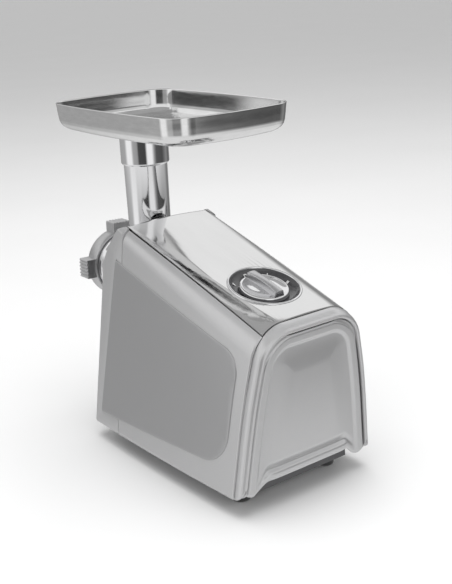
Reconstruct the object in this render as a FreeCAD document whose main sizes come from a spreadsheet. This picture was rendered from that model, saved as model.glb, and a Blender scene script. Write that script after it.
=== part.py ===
import FreeCAD, Part
import Sketcher
import math
import os
import re

from FreeCAD import Placement, Rotation, Vector

# Electric meat grinder, in millimetres.
# +Z is up, -Y is the front where the minced meat comes out, and +X is the left side
# for someone who stands behind the machine. The origin is on the table, under the
# middle of the machine's length and width.

doc = FreeCAD.newDocument("meat_grinder")
sheet = doc.addObject("Spreadsheet::Sheet", "Sizes")

SIZES = [
    # the housing as a whole
    ("housing_bottom", 20.0, "height of the housing's lower edge above the table"),
    ("base_half_width", 88.0, "half the housing's width at its lower edge"),
    ("side_lean", 0.12, "how far a side leans in, per millimetre of height"),
    ("front_narrowing", 2.0, "how much narrower each side is at the front"),
    ("rear_narrowing", 2.5, "how much narrower each side is at the back than half way"),
    ("front_foot", -107.0, "front face at the lower edge"),
    ("front_lean", 0.055, "how far the front leans back, per millimetre of height"),
    ("rear_foot", 164.0, "rear face at the lower edge"),
    ("rear_lean", 0.079, "how far the rear face leans back, per millimetre of height"),
    ("front_corner", 12.0, "radius of the upright front corners"),
    ("rear_corner", 7.0, "radius of the upright rear corners"),
    ("brow_start", 150.0, "height where the front starts to sweep back"),
    ("brow_top", -57.0, "where the front sweep meets the sloping top"),
    ("top_height", 246.0, "height of the sloping top at its front edge"),
    ("slope", 15.0, "fall of the top towards the back, in degrees"),
    ("crown_half", 63.5, "half the width of the top at its front, before its edges are rounded"),
    ("crown_narrowing", 0.01, "how much each side of the top narrows, per millimetre towards the back"),
    ("crown_round", 17.0, "radius of the top's long edges at its front"),
    ("crown_softening", 0.075, "how much that radius grows, per millimetre towards the back"),
    ("crown_reach", 120.0, "how far the top is drawn out past its front edge and past the back"),
    ("brow_round", 9.0, "radius of the top's front edge"),
    ("hood_round", 17.0, "radius of the top's rear edge"),
    ("wall", 2.6, "thickness of the housing's walls"),
    ("cover_half", 51.5, "half the width of the steel top cover"),
    ("cover_depth", 11.0, "how far down the top cover reaches below the slope"),
    ("gap", 0.6, "gap round the top cover"),
    ("bezel_depth", 13.0, "depth of the frame round the rear face"),
    ("bezel_band", 8.0, "width of the frame round the rear face"),
    ("cover_inset", 3.0, "how far the rear cover sits inside its frame"),
    ("cover_wall", 2.6, "thickness of the rear cover"),
    ("fit", 0.3, "clearance between casing pieces"),
    ("arch_half", 50.0, "half the width of the arch under the rear cover"),
    ("arch_height", 28.0, "height of the arch under the rear cover"),
    ("panel_depth", 1.6, "thickness of the side panels"),
    ("boss_radius", 5.0, "radius of the screw bosses inside the housing"),
    ("screw_inset", 13.6, "how far the base's screws stand inside the housing's lower edge"),
    ("button_radius", 7.0, "radius of the lock button"),
    # base and feet
    ("pan_bottom", 12.0, "underside of the base above the table"),
    ("pan_inset", 18.6, "how far the base's pan stands inside the housing"),
    ("flange_level", 24.0, "underside of the base's flange"),
    ("base_wall", 3.0, "thickness of the base"),
    ("foot_radius", 9.7, "radius of a rubber foot"),
    ("foot_spread_rear", 55.5, "half the distance between the rear feet"),
    ("foot_spread_front", 38.0, "half the distance between the front feet"),
    ("foot_rear", 125.5, "place of the rear feet"),
    ("foot_front", -62.0, "place of the front feet"),
    # grinding head
    ("tube_place", -90.0, "place of the feed tube's axis along the machine"),
    ("head_axis", 175.6, "height of the barrel's axis"),
    ("barrel_radius", 31.0, "outer radius of the barrel"),
    ("barrel_bore", 27.0, "inner radius of the barrel"),
    ("thread_radius", 35.5, "outer radius of the barrel's threaded mouth"),
    ("flange_radius", 34.0, "radius of the barrel's rear flange"),
    ("mouth", 77.5, "barrel's front end, ahead of the tube's axis"),
    ("barrel_back", 33.0, "barrel's rear end, behind the tube's axis"),
    ("back_wall", 11.0, "thickness of the barrel's rear wall"),
    ("tube_foot_radius", 23.0, "outer radius of the feed tube at the barrel"),
    ("tube_top_radius", 23.8, "outer radius of the feed tube under its collar"),
    ("tube_bore", 20.0, "inner radius of the feed tube"),
    ("collar_radius", 26.3, "outer radius of the feed tube's collar"),
    ("collar_bottom", 302.0, "height where the collar's chamfer starts"),
    ("collar_top", 340.0, "height of the collar's top, which carries the tray"),
    ("spigot_length", 20.0, "how far the tray reaches down into the collar"),
    ("ring_radius", 38.8, "outer radius of the fixing ring"),
    ("ring_front", 81.25, "front of the fixing ring, ahead of the tube's axis"),
    ("ring_back", 61.7, "back of the fixing ring, ahead of the tube's axis"),
    ("ring_lip", 3.0, "thickness of the fixing ring's front lip"),
    ("lug_reach", 49.5, "how far the fixing ring's lugs reach from its axis"),
    ("plate_radius", 31.0, "radius of the grinding plate"),
    ("plate_thick", 5.0, "thickness of the grinding plate"),
    ("knife_thick", 6.0, "thickness of the knife"),
    ("screw_radius", 26.4, "outer radius of the feed screw's flight"),
    ("screw_core", 9.0, "radius of the feed screw's core"),
    ("screw_pitch", 27.0, "pitch of the feed screw"),
    ("journal", 8.55, "radius of the feed screw's journal"),
    ("running", 0.05, "radial clearance of a running fit"),
    ("tang_half", 5.5, "half the width of the feed screw's square tang"),
    # tray
    ("tray_half_width", 75.0, "half the width of the tray at its rim"),
    ("tray_half_length", 117.6, "half the length of the tray at its rim"),
    ("tray_offset", 49.0, "middle of the tray, behind the feed tube's axis"),
    ("tray_rim", 370.0, "height of the tray's rim"),
    ("tray_knee", 351.0, "height where the tray's wall turns into its bottom"),
    ("tray_corner", 24.0, "radius of the tray's corners"),
    ("tray_bulge", 4.0, "how far the tray's sides bow outwards"),
    ("tray_draft", 1.6, "how much the tray's wall narrows down to its knee"),
    ("tray_bottom_inset", 20.0, "how much smaller the tray's flat bottom is"),
    ("tray_wall", 1.2, "thickness of the tray"),
    # dial
    ("dial_place", 106.8, "place of the dial's centre along the machine"),
    ("bezel_radius", 37.2, "outer radius of the dial's recess ring"),
    ("recess_radius", 34.5, "inner radius of the dial's recess"),
    ("recess_depth", 5.0, "depth of the dial's recess"),
    ("knob_radius", 25.0, "radius of the knob's skirt"),
    ("knob_skirt", 7.0, "height of the knob's skirt"),
    ("grip_width", 13.0, "width of the knob's grip"),
    ("grip_height", 11.0, "height of the knob's grip above its skirt"),
    # drive
    ("socket_outer", 40.0, "outer radius of the socket that holds the head"),
    ("socket_front", 4.0, "front of the socket, ahead of the tube's axis"),
    ("socket_seat", 35.0, "face that the barrel's flange rests against"),
    ("socket_back", 40.0, "back of the socket"),
    ("motor_axis", 78.0, "height of the motor's axis"),
    ("motor_module", 1.0, "module of the first gear pair"),
    ("middle_module", 1.25, "module of the second gear pair"),
    ("last_module", 1.5, "module of the third gear pair"),
    ("pad_radius", 36.0, "radius of the pad that joins the gearbox to the socket"),
    ("case_front", 46.0, "front of the gearbox, behind the tube's axis"),
    ("case_wall", 3.0, "thickness of the gearbox walls"),
    ("case_half", 54.0, "half the gearbox's width"),
    ("case_bottom", 64.0, "height of the gearbox's underside"),
    ("case_top", 213.0, "height of the gearbox's top"),
    ("case_back", 87.0, "joint between the gearbox and its cover"),
    ("spindle_radius", 4.0, "radius of the gear spindles"),
    ("stator_half", 38.0, "half the width of the motor's laminations"),
    ("stator_front", 113.0, "front of the laminations, behind the tube's axis"),
    ("stator_length", 44.0, "length of the laminations"),
    ("rotor_radius", 23.5, "radius of the rotor"),
    ("motor_back", 190.0, "back of the motor's rear bracket"),
]
ALIASES = {name for name, number, note in SIZES}
for row, (name, number, note) in enumerate(SIZES, start=1):
    sheet.set(f"A{row}", note)
    sheet.set(f"B{row}", str(number))
    sheet.setAlias(f"B{row}", name)
doc.recompute()


def named(text):
    """The expression with the sheet's name before each of its aliases."""
    return re.sub(r"[a-z_]+", lambda word: "Sizes." + word[0] if word[0] in ALIASES else word[0], str(text))


def value(text):
    """The number that an expression of the sheet's sizes gives now."""
    return float(sheet.evalExpression(named(text)))


def bind(thing, prop, text):
    thing.setExpression(prop, named(text))


def place(thing, x="0", y="0", z="0", turn=None):
    """Stand a sub-part at x, y, z, which stay tied to the sheet."""
    if turn is not None:
        thing.Placement = Placement(Vector(), turn)
    for letter, text in zip("xyz", (x, y, z)):
        bind(thing, "Placement.Base." + letter, text)
    return thing


ALONG_Y = Rotation(Vector(1, 0, 0), -90)


def box(name, size, low, turn=None):
    """A block of the given size whose lowest corner is low."""
    solid = doc.addObject("Part::Box", name)
    for prop, text in zip(("Length", "Width", "Height"), size):
        bind(solid, prop, text)
    return place(solid, *low, turn=turn)


def rod(name, radius, length, foot, turn=None):
    """A cylinder from its foot, upwards or along its turned axis."""
    solid = doc.addObject("Part::Cylinder", name)
    bind(solid, "Radius", radius)
    bind(solid, "Height", length)
    return place(solid, *foot, turn=turn)


def joined(name, pieces):
    solid = doc.addObject("Part::MultiFuse", name)
    solid.Shapes = pieces
    return solid


def cut(name, base, *tools):
    solid = doc.addObject("Part::Cut", name)
    solid.Base = base
    solid.Tool = tools[0] if len(tools) == 1 else joined(name + "_tools", list(tools))
    return solid


def shared(name, first, second):
    solid = doc.addObject("Part::Common", name)
    solid.Base = first
    solid.Tool = second
    return solid


def group(name, pieces):
    """Separate solids that share one node."""
    solid = doc.addObject("Part::Compound", name)
    solid.Links = pieces
    return solid


def formed(name, shape):
    """A sub-part whose shape is worked out from the sheet by the functions below."""
    solid = doc.addObject("Part::Feature", name)
    solid.Shape = shape
    return solid


def origin_plane(body, role):
    return [plane for plane in body.Origin.OriginFeatures if plane.Role == role][0]


def outline(sketch, corners):
    """Closed polygon in a sketch, with both coordinates of each corner bound to the sheet."""
    points = [Vector(value(x), value(y), 0) for x, y in corners]
    for index, start in enumerate(points):
        sketch.addGeometry(Part.LineSegment(start, points[(index + 1) % len(points)]))
    for index, (x, y) in enumerate(corners):
        after = (index + 1) % len(points)
        sketch.addConstraint(Sketcher.Constraint("Coincident", index, 2, after, 1))
        for kind, text, number in (("DistanceX", x, points[index].x), ("DistanceY", y, points[index].y)):
            spot = sketch.addConstraint(Sketcher.Constraint(kind, index, 1, number))
            sketch.renameConstraint(spot, f"{kind}_{index}")
            bind(sketch, f".Constraints.{kind}_{index}", text)


def turned(name, corners, upright=False):
    """A body turned from a profile of (radius, distance along the axis) corners.

    Its axis runs along Y, or along Z if it is upright.
    """
    body = doc.addObject("PartDesign::Body", name)
    sketch = body.newObject("Sketcher::SketchObject", name + "_profile")
    sketch.AttachmentSupport = [(origin_plane(body, "XZ_Plane" if upright else "XY_Plane"), "")]
    sketch.MapMode = "FlatFace"
    outline(sketch, corners)
    turn = body.newObject("PartDesign::Revolution", name + "_turned")
    turn.Profile = sketch
    turn.ReferenceAxis = (sketch, ["V_Axis"])
    turn.Angle = 360
    body.Tip = turn
    return body


PARTS = []


def keep(part, label=None):
    """Mark a finished sub-part, whose label names its file."""
    part.Label = label or part.Name
    PARTS.append(part)
    return part


# ---------------------------------------------------------------- housing form

def size_of(*names):
    return [value(name) for name in names]


def wire(*edges):
    return Part.Wire([edge.toShape() for edge in edges])


def face_of(points_and_arcs):
    """A face from a closed run of points; a triple holds an arc's start, middle and end."""
    edges = []
    flat = []
    for item in points_and_arcs:
        flat.append(item if isinstance(item, tuple) else (item,))
    for index, item in enumerate(flat):
        if len(item) == 3:
            edges.append(Part.Arc(*item))
        after = flat[(index + 1) % len(flat)]
        if item[-1].distanceToPoint(after[0]) > 1e-6:
            edges.append(Part.LineSegment(item[-1], after[0]))
    return Part.Face(wire(*edges))


def rounded(before, corner, after, radius):
    """Start, middle and end of the arc that rounds a corner."""
    back = (before - corner).normalize()
    ahead = (after - corner).normalize()
    half = back.getAngle(ahead) / 2
    reach = radius / math.tan(half)
    middle_way = (back + ahead).normalize()
    middle = corner + middle_way * (radius / math.sin(half) - radius)
    return corner + back * reach, middle, corner + ahead * reach


def plan_wire(level, inset):
    """The housing's outline seen from above, at one height."""
    bottom, half, lean = size_of("housing_bottom", "base_half_width", "side_lean")
    rise = level - bottom
    middle = half - lean * rise - inset
    front_half = middle - value("front_narrowing")
    rear_half = middle - value("rear_narrowing")
    front = value("front_foot") + value("front_lean") * rise + inset
    rear = value("rear_foot") + value("rear_lean") * rise - inset
    front_round = max(value("front_corner") - inset, 1.0)
    rear_round = max(value("rear_corner") - inset, 1.0)

    def at(x, y):
        return Vector(x, y, level)

    front_arc = rounded(at(0, front), at(front_half, front), at(front_half, rear), front_round)
    rear_arc = rounded(at(rear_half, front), at(rear_half, rear), at(0, rear), rear_round)
    side_arc = (front_arc[2], at(middle, (front + rear) / 2 - middle / 4), rear_arc[0])
    left = [front_arc, side_arc, rear_arc]
    mirrored = [tuple(Vector(-p.x, p.y, p.z) for p in reversed(arc)) for arc in reversed(left)]
    edges = [Part.Arc(*arc) for arc in left]
    edges.append(Part.LineSegment(rear_arc[2], mirrored[0][0]))
    edges += [Part.Arc(*arc) for arc in mirrored]
    edges.append(Part.LineSegment(mirrored[-1][2], front_arc[0]))
    return wire(*edges)


def slope_height(place_y, inset=0.0):
    """Height of the sloping top at a place along the machine."""
    fall = math.radians(value("slope"))
    return value("top_height") - (place_y - value("brow_top")) * math.tan(fall) - inset / math.cos(fall)


def rear_at(level):
    return value("rear_foot") + value("rear_lean") * (level - value("housing_bottom"))


FAR = 300.0


def side_form(low, inset):
    """The housing's side view, drawn out across its whole width."""
    brow_y = value("front_foot") + value("front_lean") * (value("brow_start") - value("housing_bottom"))
    top = Vector(0, value("brow_top"), value("top_height"))
    across = top.y - brow_y
    up = top.z - value("brow_start")
    radius = (across * across + up * up) / (2 * across)
    centre = Vector(0, brow_y + radius, value("brow_start"))
    inner = radius - inset

    # where the inset sweep meets the inset slope
    angle = math.asin(up / radius)
    for step in range(30):
        spot_y = centre.y - inner * math.cos(angle)
        miss = slope_height(spot_y, inset) - (centre.z + inner * math.sin(angle))
        angle += miss / inner
    sweep_end = Vector(0, centre.y - inner * math.cos(angle), centre.z + inner * math.sin(angle))
    tangent = sweep_end - Vector(0, math.sin(angle), math.cos(angle)) * 10
    rear_level = value("top_height") - value("hood_round") * 4
    rear = Vector(0, rear_at(rear_level) - inset, rear_level)
    hood = Vector(0, rear.y, slope_height(rear.y, inset))
    brow_arc = rounded(tangent, sweep_end, hood, max(value("brow_round") - inset, 1.0))
    hood_arc = rounded(sweep_end, hood, rear, max(value("hood_round") - inset, 1.0))
    half_way = angle * 0.5
    sweep = (
        Vector(0, centre.y - inner, centre.z),
        Vector(0, centre.y - inner * math.cos(half_way), centre.z + inner * math.sin(half_way)),
        brow_arc[0],
    )
    face = face_of([
        Vector(0, -FAR, low),
        Vector(0, -FAR, centre.z),
        sweep,
        brow_arc,
        hood_arc,
        Vector(0, FAR, hood_arc[2].z),
        Vector(0, FAR, low),
    ])
    face.translate(Vector(-FAR, 0, 0))
    return face.extrude(Vector(2 * FAR, 0, 0))


def crown_form(inset):
    """The rounded cross-section of the top, carried along the slope as it narrows and softens."""
    lean = value("side_lean")

    def section(place_y):
        along = place_y - value("brow_top")
        half = value("crown_half") - value("crown_narrowing") * along - inset
        radius = value("crown_round") + value("crown_softening") * along - inset
        shoulder = 1.2 * radius
        spread = half + lean * shoulder
        top = slope_height(place_y, inset)
        foot = top - 2 * FAR

        def at(x, z):
            return Vector(x, place_y, z)

        # below its rounded edges the form flares out, clear of the housing's sides
        return face_of([
            at(FAR, foot),
            at(FAR, top - shoulder - FAR),
            at(spread, top - shoulder),
            rounded(at(spread, top - shoulder), at(half, top), at(-half, top), radius),
            rounded(at(half, top), at(-half, top), at(-spread, top - shoulder), radius),
            at(-spread, top - shoulder),
            at(-FAR, top - shoulder - FAR),
            at(-FAR, foot),
        ]).OuterWire

    front, rear, reach = size_of("brow_top", "rear_foot", "crown_reach")
    return Part.makeLoft([section(front - reach), section(rear + reach)], True, True)


def envelope(inset, low):
    """The housing's closed outer form, with every face moved inwards by inset."""
    high = value("top_height") + 20.0
    prism = Part.makeLoft([plan_wire(low, inset), plan_wire(high, inset)], True, True)
    return prism.common(side_form(low, inset)).common(crown_form(inset))


def cylinder_y(radius, start, end, x, z):
    return Part.makeCylinder(radius, end - start, Vector(x, start, z), Vector(0, 1, 0))


def notch(grow):
    """Room in the front for the feed tube, open towards the front and the top."""
    axis_y, axis_z = size_of("tube_place", "head_axis")
    radius = value("collar_radius") + 4.7 + grow
    tall = value("top_height") + 30.0 - axis_z
    pipe = Part.makeCylinder(radius, tall, Vector(0, axis_y, axis_z))
    way = Part.makeBox(2 * radius, 100.0, tall, Vector(-radius, axis_y - 100.0, axis_z))
    mouth = cylinder_y(value("socket_outer") + value("fit") + grow, axis_y - 100.0,
                       axis_y + value("socket_back") + grow, 0, axis_z)
    return pipe.fuse(way).fuse(mouth).removeSplitter()


def cover_zone(half, depth, grow):
    """The space that the steel top cover takes out of the housing's shell."""
    start = value("brow_top") - 6.0 - grow
    end = rear_at(slope_height(value("rear_foot"))) + grow
    points = [
        Vector(-half - grow, start, slope_height(start) + 30),
        Vector(-half - grow, start, slope_height(start) - depth - grow),
        Vector(-half - grow, end, slope_height(end) - depth - grow),
        Vector(-half - grow, end, slope_height(end) + 30),
    ]
    return face_of(points).extrude(Vector(2 * (half + grow), 0, 0))


def rear_slab(near, far):
    """The slice of the housing between two distances from its rear face."""
    low = value("housing_bottom") - 20.0
    high = value("top_height")
    points = [
        Vector(-FAR, rear_at(low) - near, low),
        Vector(-FAR, rear_at(high) - near, high),
        Vector(-FAR, rear_at(high) - far, high),
        Vector(-FAR, rear_at(low) - far, low),
    ]
    return face_of(points).extrude(Vector(2 * FAR, 0, 0))


def rear_window(band):
    """The opening in the rear frame, which the rear cover fills, drawn out along the machine."""
    low = value("housing_bottom") - 20.0
    top = slope_height(rear_at(slope_height(value("rear_foot")))) - band - 3.0

    def half(level):
        rise = level - value("housing_bottom")
        return value("base_half_width") - value("rear_narrowing") - value("side_lean") * rise - band - 3.0

    def at(x, z):
        return Vector(x, 0, z)

    softened = value("crown_softening") * (value("rear_foot") - value("brow_top"))
    radius = value("crown_round") + softened - band
    left = rounded(at(half(low), low), at(half(top), top), at(-half(top), top), radius)
    right = rounded(at(half(top), top), at(-half(top), top), at(-half(low), low), radius)
    face = face_of([at(half(low), low), left, right, at(-half(low), low)])
    return face.extrude(Vector(0, FAR, 0))


def panel_zone(side, depth, grow):
    """A side panel's space: its outline through the housing's outer skin, to a depth."""
    ty = value("tube_place")

    def at(y, z):
        return Vector(0, ty + y, z)

    top_front, low_front = at(28 - grow, 210.5 + grow), at(4.5 - grow, 35 - grow)
    upper = (at(214, 164 + grow), at(227 + grow, 156 + grow), at(232 + grow, 141))
    lower = (at(220 + grow, 85), at(210 + grow, 63 - grow), at(180, 47.5 - grow))
    face = face_of([top_front, upper, lower, low_front])
    skin = envelope(0, value("housing_bottom")).cut(envelope(depth, value("housing_bottom") - 1.0))
    zone = face.extrude(Vector(side * FAR, 0, 0))
    return skin.common(zone)


# ---------------------------------------------------------------- casing pieces

def make_casing():
    bottom = value("housing_bottom")
    wall, fit, gap = size_of("wall", "fit", "gap")
    outer = envelope(0, bottom)
    inner = envelope(wall, bottom - 5.0)
    shell = outer.cut(notch(0)).cut(inner.cut(notch(wall)))
    rear = rear_slab(-FAR, value("bezel_depth"))
    cover = cover_zone(value("cover_half"), value("cover_depth"), 0)
    body = shell.cut(rear).cut(cover_zone(value("cover_half"), value("cover_depth"), gap))

    # bosses for the screws that come up through the base
    for x, y in base_screw_spots():
        boss = Part.makeCylinder(value("boss_radius"), 24.0, Vector(x, y, value("flange_level") + value("base_wall")))
        rib = Part.makeBox(12.0, 3.0, 24.0, Vector(x if x > 0 else x - 12.0, y - 1.5,
                                                   value("flange_level") + value("base_wall")))
        hole = Part.makeCylinder(1.6, 18.0, Vector(x, y, value("flange_level") + value("base_wall")))
        body = body.fuse(boss.fuse(rib).common(outer)).cut(hole)

    # the lock button's guide, and the way through to the gearbox behind the socket
    body = body.cut(cylinder_y(value("button_radius") + fit, -FAR, value("tube_place") + 5.0, *lock_spot()))
    behind = value("tube_place") + value("socket_back")
    body = body.cut(cylinder_y(value("pad_radius") + fit, behind - 5.0, behind + 10.0, 0, value("head_axis")))
    for side, name in ((1, "side_shell_left"), (-1, "side_shell_right")):
        half = Part.makeBox(FAR, 2 * FAR, FAR + 100, Vector(0 if side > 0 else -FAR, -FAR, 0))
        piece = body.common(half).cut(panel_zone(side, value("panel_depth"), fit / 2))
        keep(formed(name, largest(piece)))
        panel = panel_zone(side, value("panel_depth") - 0.05, 0)
        keep(formed(name.replace("side_shell", "side_panel"), largest(panel)))

    dial = dial_tool(value("bezel_radius") - 1.4)
    keep(formed("top_cover", largest(shell.cut(rear).common(cover).cut(dial))))

    frame = outer.common(rear).cut(rear_window(value("bezel_band")))
    keep(formed("rear_frame", largest(frame)))

    near = value("cover_inset")
    skin = outer.common(rear_slab(near, near + value("cover_wall")))
    arch = face_of([
        Vector(-value("arch_half") - 12, 0, bottom - 10),
        Vector(-value("arch_half") - 8, 0, bottom),
        Vector(-value("arch_half"), 0, value("arch_height")),
        Vector(value("arch_half"), 0, value("arch_height")),
        Vector(value("arch_half") + 8, 0, bottom),
        Vector(value("arch_half") + 12, 0, bottom - 10),
    ]).extrude(Vector(0, FAR, 0))
    cover = skin.common(rear_window(value("bezel_band") + fit)).cut(arch)
    keep(formed("rear_cover", largest(cover)))


def largest(shape):
    return max(shape.Solids, key=lambda solid: solid.Volume)


def base_screw_spots():
    side = value("base_half_width") - value("screw_inset")
    front = value("front_foot") + 24.0
    rear = value("rear_foot") - 32.0
    return [(side, front), (-side, front), (side, rear), (-side, rear)]


def lock_spot():
    """The lock button's place on the front: across, and its height."""
    return -value("socket_outer") - 13.0, value("head_axis") - 34.0


def dial_frame():
    """Place and turn of the dial: its own Z axis stands square on the slope."""
    y = value("dial_place")
    return Placement(Vector(0, y, slope_height(y)), Rotation(Vector(1, 0, 0), -value("slope")))


def dial_tool(radius):
    tool = Part.makeCylinder(radius, 80.0, Vector(0, 0, -40))
    tool.Placement = dial_frame()
    return tool


def make_base():
    bottom, flange = size_of("housing_bottom", "flange_level")
    pan_low, thick = size_of("pan_bottom", "base_wall")
    inset = value("wall") + value("fit")
    rim = Part.makeLoft([plan_wire(flange, inset), plan_wire(flange + thick, inset)], True, True)
    # the rear cover and its frame stand behind the base's flange
    rim = rim.cut(rear_slab(-FAR, value("bezel_depth") + value("fit")))
    pan_inset = value("pan_inset")
    pan = Part.makeLoft([plan_wire(pan_low, pan_inset), plan_wire(flange + thick, pan_inset)], True, True)
    hollow = Part.makeLoft([plan_wire(pan_low + thick, pan_inset + thick),
                            plan_wire(flange + thick + 1.0, pan_inset + thick)], True, True)
    base = rim.fuse(pan).cut(hollow).removeSplitter()
    for x, y in foot_spots():
        base = base.cut(Part.makeCylinder(2.2, 40.0, Vector(x, y, 0)))
    for x, y in base_screw_spots():
        base = base.cut(Part.makeCylinder(1.9, 40.0, Vector(x, y, 0)))
    x, y = inlet_spot()
    base = base.cut(Part.makeCylinder(7.0, 40.0, Vector(x, y, 0)))
    for number in range(7):
        slot = Part.makeBox(40.0, 3.0, 20.0, Vector(-20.0, -20.0 + 9.0 * number, 0))
        base = base.cut(slot)
    keep(formed("base_plate", base))


def foot_spots():
    front, rear = size_of("foot_spread_front", "foot_spread_rear")
    return [(front, value("foot_front")), (-front, value("foot_front")),
            (rear, value("foot_rear")), (-rear, value("foot_rear"))]


def inlet_spot():
    return -22.0, value("foot_rear") - 18.0


def make_feet():
    feet, screws = [], []
    for number, (x, y) in enumerate(foot_spots()):
        foot = turned(f"foot_{number}", [
            ("2.2", "5"), ("6", "5"), ("6", "0"), ("foot_radius - 1.2", "0"), ("foot_radius", "2"),
            ("foot_radius", "pan_bottom - 3"), ("foot_radius + 0.8", "pan_bottom"), ("2.2", "pan_bottom"),
        ], upright=True)
        foot.Placement.Base = Vector(x, y, 0)
        feet.append(foot)
        screw = turned(f"foot_screw_{number}", [
            ("0", "2.6"), ("4.2", "2.6"), ("4.2", "5"), ("2.1", "5"), ("2.1", "pan_bottom + base_wall + 4"),
            ("0", "pan_bottom + base_wall + 4"),
        ], upright=True)
        screw.Placement.Base = Vector(x, y, 0)
        screws.append(screw)
    keep(group("rubber_feet", feet))
    keep(group("foot_screws", screws))

    screws = []
    for number, (x, y) in enumerate(base_screw_spots()):
        screw = turned(f"base_screw_{number}", [
            ("0", "flange_level - 2.2"), ("3.5", "flange_level - 2.2"), ("3.5", "flange_level"),
            ("1.55", "flange_level"), ("1.55", "flange_level + base_wall + 14"),
            ("0", "flange_level + base_wall + 14"),
        ], upright=True)
        screw.Placement.Base = Vector(x, y, 0)
        screws.append(screw)
    keep(group("base_screws", screws))

    gland = turned("cord_inlet", [
        ("4", "pan_bottom - 1.5"), ("9", "pan_bottom - 1.5"), ("9", "pan_bottom"), ("6.95", "pan_bottom"),
        ("6.95", "pan_bottom + base_wall"), ("9", "pan_bottom + base_wall"), ("9", "pan_bottom + base_wall + 5"),
        ("4", "pan_bottom + base_wall + 5"),
    ], upright=True)
    gland.Placement.Base = Vector(*inlet_spot(), 0)
    keep(gland)


# ---------------------------------------------------------------- grinding head

def make_head():
    barrel = turned("barrel_outer", [
        ("0", "0 - mouth"), ("thread_radius", "0 - mouth"), ("thread_radius", "0 - ring_back + 6"),
        ("barrel_radius + 2.5", "0 - ring_back + 9"), ("barrel_radius", "0 - ring_back + 14"),
        ("barrel_radius", "barrel_back - 8"), ("flange_radius", "barrel_back - 8"),
        ("flange_radius", "barrel_back"), ("0", "barrel_back"),
    ])
    place(barrel, y="tube_place", z="head_axis")
    tube = turned("tube_outer", [
        ("0", "0"), ("tube_foot_radius", "0"), ("tube_top_radius", "collar_bottom - head_axis"),
        ("collar_radius", "collar_bottom - head_axis + 5"), ("collar_radius", "collar_top - head_axis"),
        ("0", "collar_top - head_axis"),
    ], upright=True)
    place(tube, y="tube_place", z="head_axis")
    chamber = turned("chamber", [
        ("0", "0 - mouth - 5"), ("plate_radius + 0.2", "0 - mouth - 5"),
        ("plate_radius + 0.2", "0 - mouth + knife_thick + plate_thick + 1"),
        ("barrel_bore", "0 - mouth + knife_thick + plate_thick + 1"),
        ("barrel_bore", "barrel_back - back_wall"), ("journal + running + 1.5", "barrel_back - back_wall"),
        ("journal + running + 1.5", "barrel_back + 5"), ("0", "barrel_back + 5"),
    ])
    place(chamber, y="tube_place", z="head_axis")
    feed = turned("feed_bore", [
        ("0", "0"), ("tube_bore", "0"), ("tube_bore", "collar_top - head_axis - spigot_length - 0.5"),
        ("tube_bore + 3.2", "collar_top - head_axis - spigot_length - 0.5"),
        ("tube_bore + 3.2", "collar_top - head_axis + 5"), ("0", "collar_top - head_axis + 5"),
    ], upright=True)
    place(feed, y="tube_place", z="head_axis")
    outer = joined("head_outer", [barrel, tube])
    keep(cut("grinder_head", outer, chamber, feed))

    bush = turned("head_bush", [
        ("journal + running", "barrel_back - back_wall"), ("journal + running + 1.5", "barrel_back - back_wall"),
        ("journal + running + 1.5", "barrel_back"), ("journal + running", "barrel_back"),
    ])
    keep(place(bush, y="tube_place", z="head_axis"))

    ring = turned("ring_body", [
        ("plate_radius - 4.5", "0 - ring_front"), ("ring_radius - 2", "0 - ring_front"),
        ("ring_radius", "0 - ring_front + 2"), ("ring_radius", "0 - ring_back"),
        ("thread_radius + 0.2", "0 - ring_back"), ("thread_radius + 0.2", "0 - ring_front + ring_lip"),
        ("plate_radius - 4.5", "0 - ring_front + ring_lip"),
    ])
    place(ring, y="tube_place", z="head_axis")
    keep(formed("fixing_ring", ring_with_lugs(ring)))

    plate = turned("plate_disc", [
        ("5.1", "0 - ring_front + ring_lip"), ("plate_radius", "0 - ring_front + ring_lip"),
        ("plate_radius", "0 - ring_front + ring_lip + plate_thick"),
        ("5.1", "0 - ring_front + ring_lip + plate_thick"),
    ])
    place(plate, y="tube_place", z="head_axis")
    doc.recompute()
    axis_y, axis_z, front = size_of("tube_place", "head_axis", "ring_front")
    disc = plate.Shape.copy()
    holes = []
    for reach, count in ((10.5, 8), (16.5, 14), (22.5, 20)):
        for number in range(count):
            turn = 2 * math.pi * number / count
            holes.append(cylinder_y(2.1, axis_y - front, axis_y - front + 20,
                                    reach * math.cos(turn), axis_z + reach * math.sin(turn)))
    keep(formed("grinding_plate", disc.cut(Part.makeCompound(holes))))

    knife_start = axis_y - front + value("ring_lip") + value("plate_thick") + 0.05
    thick = value("knife_thick")
    hub = cylinder_y(10.5, knife_start, knife_start + thick, 0, axis_z)
    for number in range(4):
        blade = Part.makeBox(value("plate_radius") - 3.5, thick - 1.0, 8.0,
                             Vector(0, knife_start, axis_z - 2.0))
        blade.rotate(Vector(0, knife_start, axis_z), Vector(0, 1, 0), 90 * number + 20)
        hub = hub.fuse(blade)
    square = Part.makeBox(8.6, thick + 2, 8.6, Vector(-4.3, knife_start - 1, axis_z - 4.3))
    keep(formed("knife", hub.cut(square).removeSplitter()))

    make_screw(knife_start, thick)


def ring_with_lugs(ring):
    """The ring and its four gripping lugs, each with grooves along the axis."""
    doc.recompute()
    axis_y, axis_z = size_of("tube_place", "head_axis")
    start, end = axis_y - value("ring_front") + 1.0, axis_y - value("ring_back") - 1.0
    solid = ring.Shape.copy()
    inner = value("thread_radius") + 1.0
    for number in range(4):
        lug = Part.makeBox(value("lug_reach") - inner, end - start, 22.0, Vector(inner, start, axis_z - 11.0))
        grooves = [
            cylinder_y(1.1, start - 1, end + 1, value("lug_reach") + 0.2, axis_z - 8.0 + 4.0 * step)
            for step in range(5)
        ]
        lug = lug.cut(Part.makeCompound(grooves))
        lug.rotate(Vector(0, 0, axis_z), Vector(0, 1, 0), -(7 + 90 * number))
        solid = solid.fuse(lug)
    return solid.removeSplitter()


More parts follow.
